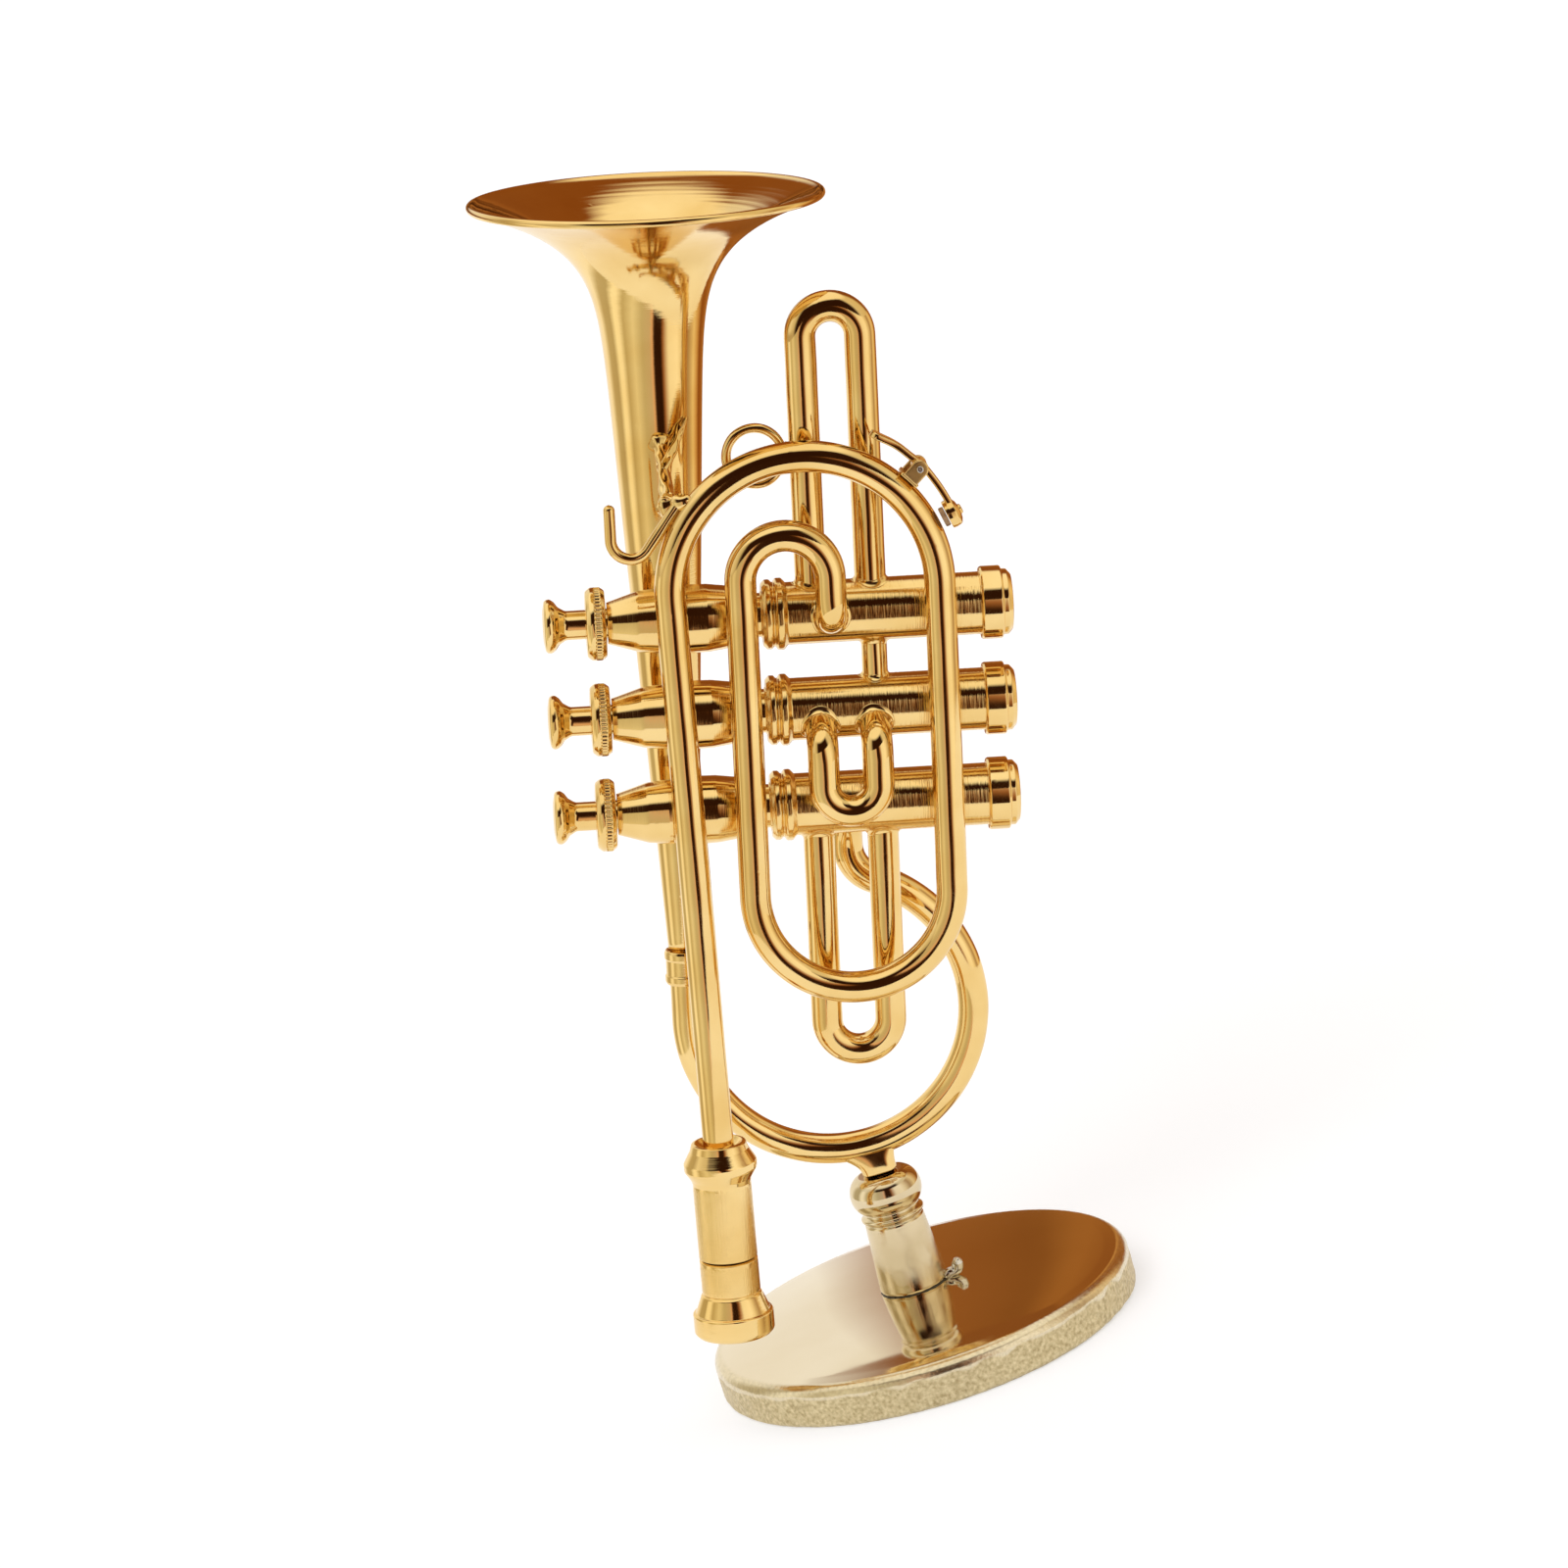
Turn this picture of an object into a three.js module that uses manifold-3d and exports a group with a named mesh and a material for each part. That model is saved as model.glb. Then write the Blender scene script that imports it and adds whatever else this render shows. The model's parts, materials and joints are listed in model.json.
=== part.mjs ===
// A miniature brass cornet on a round display stand, in millimetres, +Z up.
//
// The origin is the centre of the base's underside. The stand is built on that axis.
// The cornet has a frame of its own, a group that leans over the stand by LEAN:
//   x  along the valves, from the finger buttons to the bottom caps
//   y  through the instrument, from its coiled leadpipe (front) to its bell (back)
//   z  along the bell, towards its mouth
// The middle valve's axis is that frame's x axis.
import * as THREE from "three";
import { mergeVertices } from "three/addons/utils/BufferGeometryUtils.js";
import Module from "manifold-3d";

const wasm = await Module();
wasm.setup();

// ---------------------------------------------------------------- driving dimensions
const TUBE_R = 1.5; // outside radius of all the main tubing
const TUBE_BORE_R = 1.0;
const SOLDER_GAP = 0.3; // between pieces that meet inside the leaning cornet
const PORT_CLEARANCE = 0.25; // round a tube that enters a valve casing
const LEAN = THREE.MathUtils.degToRad(14); // of the bell's axis from the stand's

const BASE_R = 21.5;
const BASE_SIDE_H = 4.3; // height of the disc's edge
const BASE_CROWN = 1.3; // rise of the polished dome above that edge
const BASE_EDGE_R = 0.8; // rounding between the side and the dome
const POST_H = 12.2;
const POST_FOOT_R = 3.5;
const POST_BULB_R = 3.65;
const POST_STUD_R = 1.8; // stud that holds the post in the disc
const POST_STUD_L = 3.0;
const PEG_R = 1.35; // pin that turns in the post
const PEG_DEPTH = 7.0;
const PEG_CLEARANCE = 0.12;
const PEG_HEAD_R = 2.3;
const PEG_RISE = 1.7; // from the post's top to the underside of the bow

const VALVE_PITCH = 9.4;
const CASING_R = 3.0;
const CASING_BORE_R = 2.4;
const CASING_END_X = 17.1;
const CASING_BEAD_X = -2.1; // where the double bead meets the plain casing
const BEAD_W = 2.3;
const BEAD_R = 3.45;
const BARREL_R = 3.3;
const BARREL_L = 14.8; // from the barrel's small end to the casing's bead
const BARREL_NECK_R = 2.1; // between the barrel and its spigot
const BARREL_END_R = 2.0; // of its small end, under the top cap
const BARREL_SPIGOT_L = 1.2;
const STEM_R = 1.4;
const STEM_CLEARANCE = 0.15;
const TOP_CAP_R = 3.5;
const TOP_CAP_W = 2.0;
const BUTTON_R = 2.65;
const BUTTON_T = 1.6;
const VALVE_TRAVEL = 2.0;
const VALVE_OVERTRAVEL = 0.5; // space left under the button when it is fully down
const PISTON_CLEARANCE = 0.15;
const PISTON_L = 12.6;
const PISTON_WALL = 0.4;
const PISTON_CROWN = 4.6;
const SPRING_WIRE_R = 0.2;
const SPRING_TURNS = 5;
const CAP_WALL = 0.4;
const BOTTOM_CAP_W = 3.1;
const BOTTOM_CAP_SKIRT = 0.9;

const COIL_RIGHT_X = 12.4;
const TOP_BEND_R = 12.8;
const TOP_BEND_RISE = 3.25; // of the top bend's centre above the first valve
const BOTTOM_BEND_R = 9.45;
const BOTTOM_BEND_DROP = 7.7; // of the bottom bend's centre below the third valve
const CROOK_R = 4.25;
const CROOK_RISE = 4.3;
const ELBOW_R = 2.0;
const LEADPIPE_L = 56.4; // from the top bend down to the receiver
const LEADPIPE_TILT = THREE.MathUtils.degToRad(2.1);

const RECEIVER_R = 2.85;
const RECEIVER_L = 11.7;
const COLLAR_R = 3.6;
const COLLAR_L = 4.1;
const RECEIVER_SOCKET_L = 3.0; // how far the leadpipe goes into it
const SHANK_R = 1.65;
const SHANK_L = 3.9;
const MOUTHPIECE_L = 7.7;
const MOUTHPIECE_RIM_R = 3.95;
const MOUTHPIECE_RIM_H = 2.4;
const MOUTHPIECE_CUP_R = 3.1;
const MOUTHPIECE_CUP_L = 3.4;

const BELL_L = 73.3;
const BELL_RIM_R = 17.4;
const BELL_THROAT_R = 5.5; // what the straight taper would reach at the mouth
const BELL_FLARE_L = 3.7; // length over which the flare fades
const BELL_FLARE_END = 14; // beyond this the bell is a plain taper
const BELL_WALL = 0.5;
const BELL_TAIL_DROP = 15.6; // of the bell's small end below the third valve
const BOW_X = 0.8; // centre of the round bow
const BOW_DROP = 22.8; // of that centre below the third valve
const BOW_R = 14.1;
const BOW_WRAP = THREE.MathUtils.degToRad(70); // arc past the half circle
const BOW_ENTRY = THREE.MathUtils.degToRad(70); // of its end towards the third valve
const BOW_PORT_X = 3.2;
const FERRULE_R = 1.95;
const FERRULE_L = 3.4;

const FIRST_SLIDE = { x: [0.4, 6.1], reach: 29.4 }; // reach: from the valve's axis
const SECOND_SLIDE = { x: [0.6, 5.8], reach: 9.1, bend: 2.2 };
const SECOND_SLIDE_GAP = 0.7; // between it and the casing of valve 3
const THIRD_SLIDE = { x: [0.1, 6.3], reach: 24.8 };
const SECOND_SLIDE_DIP = THREE.MathUtils.degToRad(25);
const KNUCKLE_R = 1.22;
const KNUCKLE_X = 6.2;

const RING_R = 2.7; // finger ring, to the middle of its wire
const RING_WIRE_R = 0.4;
const RING_RISE = 15.4; // above the first valve
const HOOK_WIRE_R = 0.55;
const BRACE_R = 0.6;

const KEY_ANGLE = THREE.MathUtils.degToRad(45); // where the water key sits on the bend
const KEY_PIVOT_RISE = 1.6; // of the pivot above the bend's tube
const KEY_PAD_ANGLE = THREE.MathUtils.degToRad(20); // from the pivot to the pad
const KEY_ARM_L = 5.6;
const KEY_ARM_DROP = 1.0;
const KEY_STRIP_T = 0.5;
const KEY_STRIP_W = 1.8;
const KEY_HUB_R = 0.8;
const KEY_PIN_R = 0.35;
const KEY_PIN_CLEARANCE = 0.12;
const KEY_EAR_T = 0.55;
const KEY_EAR_GAP = 0.2;
const KEY_CUP_R = 1.25;
const KEY_CUP_H = 1.1;
const KEY_CORK_R = 0.95;
const KEY_CORK_H = 0.45;

// Faces round the turned pieces.
const BASE_SIDES = 44;
const BELL_SIDES = 36;
const VALVE_SIDES = 16;
const STAND_SIDES = 20;

// ---------------------------------------------------------------- places that follow
const VALVE_Z = [VALVE_PITCH, 0, -VALVE_PITCH];
const PORT_END_R = CASING_R - 0.4; // a soldered tube stops inside the casing's wall
const POST_Z = BASE_SIDE_H + BASE_CROWN;
const POST_TOP_Z = POST_Z + POST_H;
const BARREL_END_X = CASING_BEAD_X - BEAD_W - BARREL_L;
const CAP_GAP = 0.1;
const TOP_CAP_X = BARREL_END_X - CAP_GAP - TOP_CAP_W;
const BUTTON_X = TOP_CAP_X - VALVE_TRAVEL - VALVE_OVERTRAVEL - BUTTON_T;
const TOP_BEND_Z = VALVE_Z[0] + TOP_BEND_RISE;
const TOP_BEND_X = COIL_RIGHT_X - TOP_BEND_R;
const BOW_Z = VALVE_Z[2] - BOW_DROP;
const BELL_X = BOW_X - BOW_R;
const BELL_TAIL_Z = VALVE_Z[2] - BELL_TAIL_DROP;
const KEY_PIVOT_R = TOP_BEND_R + TUBE_R + KEY_PIVOT_RISE;

// The bell's outside radius at `d` from its mouth: a plain taper plus a fading flare.
function bellRadius(d) {
  const taper = TUBE_R + (BELL_THROAT_R - TUBE_R) * (1 - d / BELL_L);
  const flare = BELL_RIM_R - BELL_THROAT_R;
  return taper + flare * Math.exp(-d / BELL_FLARE_L - (d / BELL_FLARE_END) ** 2);
}
const bellRadiusAt = (z) => bellRadius(BELL_TAIL_Z + BELL_L - z);

// The coiled leadpipe's plane is in front of the valves, and the bell's is behind them.
const COIL_Y = -(Math.max(BARREL_R, CASING_R) + SOLDER_GAP + TUBE_R);
const BELL_Y = BARREL_R + SOLDER_GAP + bellRadiusAt(VALVE_Z[0]);
const SECOND_SLIDE_Y = -(CASING_R + SECOND_SLIDE_GAP + TUBE_R);

// ---------------------------------------------------------------- materials
const gold = () =>
  new THREE.MeshStandardMaterial({ color: 0xd9ab52, metalness: 1, roughness: 0.14 });
const paleGold = () =>
  new THREE.MeshStandardMaterial({ color: 0xcdbb8e, metalness: 1, roughness: 0.22 });
const steel = () =>
  new THREE.MeshStandardMaterial({ color: 0x9fa3a8, metalness: 1, roughness: 0.3 });
const cork = () =>
  new THREE.MeshStandardMaterial({ color: 0x9a6b3f, metalness: 0, roughness: 0.9 });

// ---------------------------------------------------------------- shared geometry
const X = new THREE.Vector3(1, 0, 0);
const Y = new THREE.Vector3(0, 1, 0);
const Z = new THREE.Vector3(0, 0, 1);
const at = (x, y, z) => new THREE.Vector3(x, y, z);

// Only positions, with shared vertices merged and no triangle of zero area.
function weld(geometry) {
  const bare = geometry.clone();
  bare.deleteAttribute("normal");
  bare.deleteAttribute("uv");
  const merged = mergeVertices(bare, 1e-4);
  const index = [];
  for (let i = 0; i < merged.index.count; i += 3) {
    const corners = [0, 1, 2].map((k) => merged.index.getX(i + k));
    if (new Set(corners).size === 3) index.push(...corners);
  }
  merged.setIndex(index);
  return merged;
}

function solid(geometry) {
  const welded = weld(geometry);
  return new wasm.Manifold(
    new wasm.Mesh({
      numProp: 3,
      vertProperties: new Float32Array(welded.attributes.position.array),
      triVerts: new Uint32Array(welded.index.array),
    }),
  );
}

function surface(manifold) {
  const { vertProperties, triVerts } = manifold.getMesh();
  const geometry = new THREE.BufferGeometry();
  geometry.setAttribute("position", new THREE.BufferAttribute(vertProperties, 3));
  geometry.setIndex(new THREE.BufferAttribute(triVerts, 1));
  geometry.computeVertexNormals();
  return geometry;
}

// Joins the first geometry with `add` and cuts `cut` out of it.
function shaped(geometry, { add = [], cut = [] }) {
  let body = solid(geometry);
  for (const piece of add) body = body.add(solid(piece));
  for (const piece of cut) body = body.subtract(solid(piece));
  return surface(body);
}

// A turned piece about z from its half outline of [radius, z] points, in either order.
// An outline that doesn't start on the axis closes on itself, round a bore.
function turned(outline, sides) {
  const area = outline.reduce((sum, [r, z], i) => {
    const [r2, z2] = outline[(i + 1) % outline.length];
    return sum + r * z2 - r2 * z;
  }, 0);
  const points = (area > 0 ? outline : [...outline].reverse()).map(
    ([r, z]) => new THREE.Vector2(r, z),
  );
  if (points[0].x > 0) points.push(points[0].clone());
  return weld(new THREE.LatheGeometry(points, sides).rotateX(Math.PI / 2));
}

// A route of straight runs and round bends. A straight run adds only its end, so a
// tube along the route has few faces, and every face of a bend is as long as the next.
class Route extends THREE.Curve {
  constructor(start, heading) {
    super();
    this.stations = [{ point: start.clone(), heading: heading.clone().normalize() }];
  }
  get end() {
    return this.stations[this.stations.length - 1];
  }
  go(length) {
    const { point, heading } = this.end;
    this.stations.push({
      point: point.clone().addScaledVector(heading, length),
      heading: heading.clone(),
    });
    return this;
  }
  // Turns by `angle` about `axis`, which is square to the heading, at radius `radius`.
  turn(axis, radius, angle, steps) {
    const { point, heading } = this.end;
    const centre = point
      .clone()
      .addScaledVector(axis.clone().cross(heading), radius);
    for (let i = 1; i <= steps; i += 1) {
      const part = (angle * i) / steps;
      this.stations.push({
        point: point.clone().sub(centre).applyAxisAngle(axis, part).add(centre),
        heading: heading.clone().applyAxisAngle(axis, part),
      });
    }
    return this;
  }
  station(t) {
    return this.stations[Math.round(t * (this.stations.length - 1))];
  }
  getPointAt(t, target = new THREE.Vector3()) {
    return target.copy(this.station(t).point);
  }
  getTangentAt(t, target = new THREE.Vector3()) {
    return target.copy(this.station(t).heading);
  }
}

const ring = (radius, sides) =>
  Array.from({ length: sides }, (_, i) => {
    const angle = (2 * Math.PI * i) / sides;
    return new THREE.Vector2(radius * Math.cos(angle), radius * Math.sin(angle));
  });

// A round tube along a route, or a round rod if it has no bore.
function tube(route, radius, bore = 0, sides = 10) {
  const section = new THREE.Shape(ring(radius, sides));
  if (bore > 0) section.holes.push(new THREE.Path(ring(bore, 6)));
  return weld(
    new THREE.ExtrudeGeometry(section, {
      steps: route.stations.length - 1,
      extrudePath: route,
      bevelEnabled: false,
    }),
  );
}

const rod = (from, to, radius, sides = 10) =>
  tube(new Route(from, to.clone().sub(from)).go(to.distanceTo(from)), radius, 0, sides);

// A block centred at (x, z) with its length along a slope in the x-z plane.
const block = (x, y, z, length, width, height, slope = 0) =>
  new THREE.BoxGeometry(length, width, height).rotateY(slope).translate(x, y, z);

function part(name, geometry, material, parent) {
  const mesh = new THREE.Mesh(geometry, material);
  mesh.name = name;
  parent.add(mesh);
  return mesh;
}

// ---------------------------------------------------------------- the display stand
const object = new THREE.Group();

// A thick disc with a flat underside and a polished, slightly domed top.
function baseDisc() {
  const holeR = POST_STUD_R + PEG_CLEARANCE;
  const domeR = BASE_R - BASE_EDGE_R;
  const dome = (r) => BASE_SIDE_H + BASE_CROWN * (1 - (r / domeR) ** 2);
  const corner = [0, 30, 60, 90].map((deg) => {
    const angle = THREE.MathUtils.degToRad(deg);
    return [
      domeR + BASE_EDGE_R * Math.cos(angle),
      BASE_SIDE_H - BASE_EDGE_R + BASE_EDGE_R * Math.sin(angle),
    ];
  });
  const rings = [0.8, 0.55, 0.3].map((share) => [domeR * share, dome(domeR * share)]);
  const holeZ = POST_Z - POST_STUD_L - SOLDER_GAP;
  return turned(
    [[0, 0], [BASE_R, 0], ...corner, ...rings, [holeR, dome(holeR)], [holeR, holeZ], [0, holeZ]],
    BASE_SIDES,
  );
}
part("base_disc", baseDisc(), paleGold(), object);

// A turned post: a stud, a slightly flared column, a groove and a bulb with a socket.
function standPost() {
  const foot = POST_Z + 0.05;
  const neckZ = foot + 7.2;
  const bulbZ = foot + 9.3;
  const socketR = PEG_R + PEG_CLEARANCE;
  const socketZ = POST_TOP_Z - PEG_DEPTH - SOLDER_GAP;
  return turned(
    [
      [0, POST_Z - POST_STUD_L],
      [POST_STUD_R, POST_Z - POST_STUD_L],
      [POST_STUD_R, foot],
      [POST_FOOT_R, foot],
      [POST_FOOT_R - 0.3, neckZ - 0.5],
      [POST_FOOT_R - 0.65, neckZ],
      [POST_BULB_R - 0.45, bulbZ - 1.4],
      [POST_BULB_R, bulbZ],
      [POST_BULB_R - 0.35, bulbZ + 1.1],
      [POST_BULB_R - 1.2, POST_TOP_Z - 0.7],
      [POST_BULB_R - 1.35, POST_TOP_Z],
      [socketR, POST_TOP_Z],
      [socketR, socketZ],
      [0, socketZ],
    ],
    STAND_SIDES,
  );
}
part("stand_post", standPost(), paleGold(), object);

// The cornet hangs on its bow: the lowest point of the bow is over the post's axis.
const bowCentreZ = POST_TOP_Z + PEG_RISE + TUBE_R + BOW_R;
const cornet = new THREE.Group();
cornet.rotation.y = LEAN;
const bowCentre = at(BOW_X, BELL_Y, BOW_Z).applyAxisAngle(Y, LEAN);
cornet.position.set(-bowCentre.x, -BELL_Y, bowCentreZ - bowCentre.z);
object.add(cornet);

// The peg is soldered under the bow by its saddle and turns in the post's socket.
function standPeg() {
  const saddleZ = POST_TOP_Z + PEG_RISE;
  const peg = turned(
    [
      [0, POST_TOP_Z - PEG_DEPTH],
      [PEG_R, POST_TOP_Z - PEG_DEPTH],
      [PEG_R, POST_TOP_Z + 0.15],
      [PEG_HEAD_R - 0.55, POST_TOP_Z + 0.4],
      [PEG_HEAD_R, saddleZ + 0.2],
      [PEG_HEAD_R, saddleZ + TUBE_R * 0.7],
      [0, saddleZ + TUBE_R * 0.7],
    ],
    STAND_SIDES,
  );
  const half = 2 * PEG_HEAD_R;
  const bowZ = saddleZ + TUBE_R;
  const groove = rod(at(-half, 0, bowZ), at(half, 0, bowZ), TUBE_R + SOLDER_GAP, 20);
  return shaped(peg, { cut: [groove] });
}
part("stand_peg", standPeg(), gold(), object);

// ---------------------------------------------------------------- bell and bow
// A spun shell. Its inside is the outside moved square to the surface by the wall.
function bell() {
  const steps = 13;
  const outside = [];
  const inside = [];
  for (let i = 0; i <= steps; i += 1) {
    const d = BELL_L * (i / steps) ** 2;
    const slope = (bellRadius(d + 0.01) - bellRadius(d - 0.01)) / 0.02;
    const length = Math.hypot(1, slope);
    outside.push([bellRadius(d), BELL_L - d]);
    inside.push([
      bellRadius(d) - BELL_WALL / length,
      i === steps ? 0 : BELL_L - d - (BELL_WALL * slope) / length,
    ]);
  }
  return turned([...outside, ...inside.reverse()], BELL_SIDES);
}
part("bell", bell(), gold(), cornet).position.set(BELL_X, BELL_Y, BELL_TAIL_Z);

// From the bell's small end round under the valves and up into the back of valve 3.
function bowRoute() {
  const wrapX = BOW_X + BOW_R * Math.cos(BOW_WRAP);
  const wrapZ = BOW_Z + BOW_R * Math.sin(BOW_WRAP);
  const backR = (wrapX - BOW_PORT_X) / (1 - Math.cos(BOW_WRAP));
  const upZ = wrapZ + backR * Math.sin(BOW_WRAP);
  const entryR =
    (VALVE_Z[2] - BELL_Y / Math.tan(BOW_ENTRY) - upZ) / Math.tan(BOW_ENTRY / 2);
  const rest = (BELL_Y - entryR * (1 - Math.cos(BOW_ENTRY))) / Math.sin(BOW_ENTRY);
  const start = BELL_TAIL_Z - SOLDER_GAP;
  return new Route(at(BELL_X, BELL_Y, start), Z.clone().negate())
    .go(start - BOW_Z)
    .turn(Y.clone().negate(), BOW_R, Math.PI + BOW_WRAP, 20)
    .turn(Y, backR, BOW_WRAP, 4)
    .turn(X, entryR, BOW_ENTRY, 5)
    .go(rest - PORT_END_R);
}
part("bell_bow", tube(bowRoute(), TUBE_R, TUBE_BORE_R), gold(), cornet);

// A sleeve over the joint between the bell and its bow.
function ferrule() {
  const bore = TUBE_R + 0.25;
  const half = FERRULE_L / 2;
  return turned(
    [[bore, -half], [FERRULE_R, -half + 0.2], [FERRULE_R, half - 0.2], [bore, half]],
    16,
  );
}
part("bow_ferrule", ferrule(), gold(), cornet).position.set(
  BELL_X,
  BELL_Y,
  BELL_TAIL_Z - FERRULE_L / 2,
);

// ---------------------------------------------------------------- leadpipe and mouthpiece
const topBendStart = at(
  TOP_BEND_X - TOP_BEND_R * Math.cos(LEADPIPE_TILT),
  COIL_Y,
  TOP_BEND_Z - TOP_BEND_R * Math.sin(LEADPIPE_TILT),
);
const leadpipeUp = Z.clone().applyAxisAngle(Y, -LEADPIPE_TILT);
const leadpipeFoot = topBendStart.clone().addScaledVector(leadpipeUp, -LEADPIPE_L);

// Up from the receiver, round the top bend, down and round the bottom bend, up the
// middle, over the small crook and back into the front of valve 1.
function coilRoute() {
  const bottomZ = VALVE_Z[2] - BOTTOM_BEND_DROP;
  const crookZ = VALVE_Z[0] + CROOK_RISE;
  return new Route(leadpipeFoot, leadpipeUp)
    .go(LEADPIPE_L)
    .turn(Y, TOP_BEND_R, Math.PI + LEADPIPE_TILT, 14)
    .go(TOP_BEND_Z - bottomZ)
    .turn(Y, BOTTOM_BEND_R, Math.PI, 12)
    .go(crookZ - bottomZ)
    .turn(Y, CROOK_R, Math.PI, 8)
    .go(crookZ - VALVE_Z[0] - ELBOW_R)
    .turn(X, ELBOW_R, Math.PI / 2, 4)
    .go(-COIL_Y - ELBOW_R - PORT_END_R);
}
part("leadpipe_coil", tube(coilRoute(), TUBE_R, TUBE_BORE_R), gold(), cornet);

// The receiver and mouthpiece hang on the leadpipe's end. Their own z is along it,
// and their top is where the leadpipe goes in.
const mouthEnd = new THREE.Group();
mouthEnd.position.copy(leadpipeFoot).addScaledVector(leadpipeUp, RECEIVER_SOCKET_L);
mouthEnd.rotation.y = -LEADPIPE_TILT;
cornet.add(mouthEnd);

const socketR = TUBE_R + 0.15;
const shankBoreR = SHANK_R + 0.12;
part(
  "mouthpiece_receiver",
  turned(
    [
      [socketR, 0],
      [COLLAR_R - 0.95, 0],
      [COLLAR_R - 0.75, -0.6],
      [COLLAR_R - 0.1, -1.9],
      [COLLAR_R, -2.7],
      [COLLAR_R - 0.45, -3.5],
      [RECEIVER_R, -COLLAR_L],
      [RECEIVER_R, -RECEIVER_L],
      [shankBoreR, -RECEIVER_L],
      [shankBoreR, -RECEIVER_L + SHANK_L + SOLDER_GAP],
      [TUBE_BORE_R, -RECEIVER_L + SHANK_L + SOLDER_GAP],
      [TUBE_BORE_R, -RECEIVER_SOCKET_L - SOLDER_GAP],
      [socketR, -RECEIVER_SOCKET_L - SOLDER_GAP],
    ],
    STAND_SIDES,
  ),
  gold(),
  mouthEnd,
);

// A shank, a short barrel, a flare and a rim with a cup sunk in it.
function mouthpiece() {
  const top = -RECEIVER_L - CAP_GAP;
  const foot = top - MOUTHPIECE_L;
  const rimTop = foot + MOUTHPIECE_RIM_H;
  const throatR = 0.7;
  return turned(
    [
      [throatR, top + SHANK_L],
      [SHANK_R, top + SHANK_L],
      [SHANK_R, top],
      [RECEIVER_R, top],
      [RECEIVER_R, top - 3.0],
      [RECEIVER_R + 0.3, rimTop + 1.7],
      [MOUTHPIECE_RIM_R - 0.3, rimTop + 0.35],
      [MOUTHPIECE_RIM_R, rimTop - 0.1],
      [MOUTHPIECE_RIM_R, foot + 0.45],
      [MOUTHPIECE_RIM_R - 0.35, foot],
      [MOUTHPIECE_CUP_R, foot],
      [MOUTHPIECE_CUP_R - 0.3, foot + MOUTHPIECE_CUP_L * 0.45],
      [MOUTHPIECE_CUP_R * 0.55, foot + MOUTHPIECE_CUP_L * 0.85],
      [throatR, foot + MOUTHPIECE_CUP_L],
    ],
    STAND_SIDES,
  );
}
part("mouthpiece", mouthpiece(), gold(), mouthEnd);

// ---------------------------------------------------------------- valves
// Each valve is turned about its own z, which its group lays along the cornet's x.
// A direction square to the valves: `dip` below straight forward.
const forward = (dip) => at(0, -Math.cos(dip), -Math.sin(dip));
const backward = (dip) => at(0, Math.cos(dip), -Math.sin(dip));
const UP = forward(-Math.PI / 2);
const DOWN = forward(Math.PI / 2);
const ENTRY_DIP = Math.PI / 2 - BOW_ENTRY;
const coilEndX = COIL_RIGHT_X - 2 * BOTTOM_BEND_R + 2 * CROOK_R;

// The tubes that enter each valve's casing.
const PORTS = [
  [
    { x: FIRST_SLIDE.x[0], way: UP, radius: TUBE_R },
    { x: FIRST_SLIDE.x[1], way: UP, radius: TUBE_R },
    { x: coilEndX, way: forward(0), radius: TUBE_R },
    { x: KNUCKLE_X, way: DOWN, radius: KNUCKLE_R },
  ],
  [
    { x: KNUCKLE_X, way: UP, radius: KNUCKLE_R },
    { x: SECOND_SLIDE.x[0], way: forward(SECOND_SLIDE_DIP), radius: TUBE_R },
    { x: SECOND_SLIDE.x[1], way: forward(SECOND_SLIDE_DIP), radius: TUBE_R },
    { x: KNUCKLE_X, way: DOWN, radius: KNUCKLE_R },
  ],
  [
    { x: KNUCKLE_X, way: UP, radius: KNUCKLE_R },
    { x: THIRD_SLIDE.x[0], way: DOWN, radius: TUBE_R },
    { x: THIRD_SLIDE.x[1], way: DOWN, radius: TUBE_R },
    { x: BOW_PORT_X, way: backward(ENTRY_DIP), radius: TUBE_R },
  ],
];

// A bored casing with a double bead at its button end, and a port for each tube.
function casing(ports) {
  const beadStart = CASING_BEAD_X - BEAD_W;
  const outline = [
    [CASING_BORE_R, beadStart],
    [BEAD_R - 0.45, beadStart],
    [BEAD_R - 0.1, beadStart + 0.35],
    [BEAD_R - 0.1, beadStart + 0.8],
    [BEAD_R - 0.4, beadStart + 1.1],
    [BEAD_R, beadStart + 1.4],
    [BEAD_R, beadStart + 1.95],
    [CASING_R, CASING_BEAD_X],
    [CASING_R, CASING_END_X],
    [CASING_BORE_R, CASING_END_X],
  ];
  const body = turned(outline, VALVE_SIDES).rotateY(Math.PI / 2);
  const cut = ports.map(({ x, way, radius }) => {
    const from = at(x, 0, 0);
    const to = from.clone().addScaledVector(way, CASING_R + 1);
    return rod(from, to, radius + PORT_CLEARANCE, 12);
  });
  return shaped(body, { cut });
}

// The turned barrel that carries the stem, with a spigot in the casing's bore.
function barrel() {
  const bore = STEM_R + STEM_CLEARANCE;
  const end = CASING_BEAD_X - BEAD_W;
  const spigotR = CASING_BORE_R - PISTON_CLEARANCE;
  return turned(
    [
      [bore, BARREL_END_X],
      [BARREL_END_R, BARREL_END_X],
      [BARREL_R - 0.4, BARREL_END_X + 2.9],
      [BARREL_R - 0.12, BARREL_END_X + 5.2],
      [BARREL_R, BARREL_END_X + 7.6],
      [BARREL_R - 0.12, BARREL_END_X + 9.6],
      [BARREL_R - 0.4, BARREL_END_X + 11.4],
      [BARREL_NECK_R, end - 1.2],
      [BARREL_NECK_R, end - CAP_GAP],
      [spigotR, end - CAP_GAP],
      [spigotR, end + BARREL_SPIGOT_L],
      [bore, end + BARREL_SPIGOT_L],
    ],
    VALVE_SIDES,
  );
}

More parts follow.
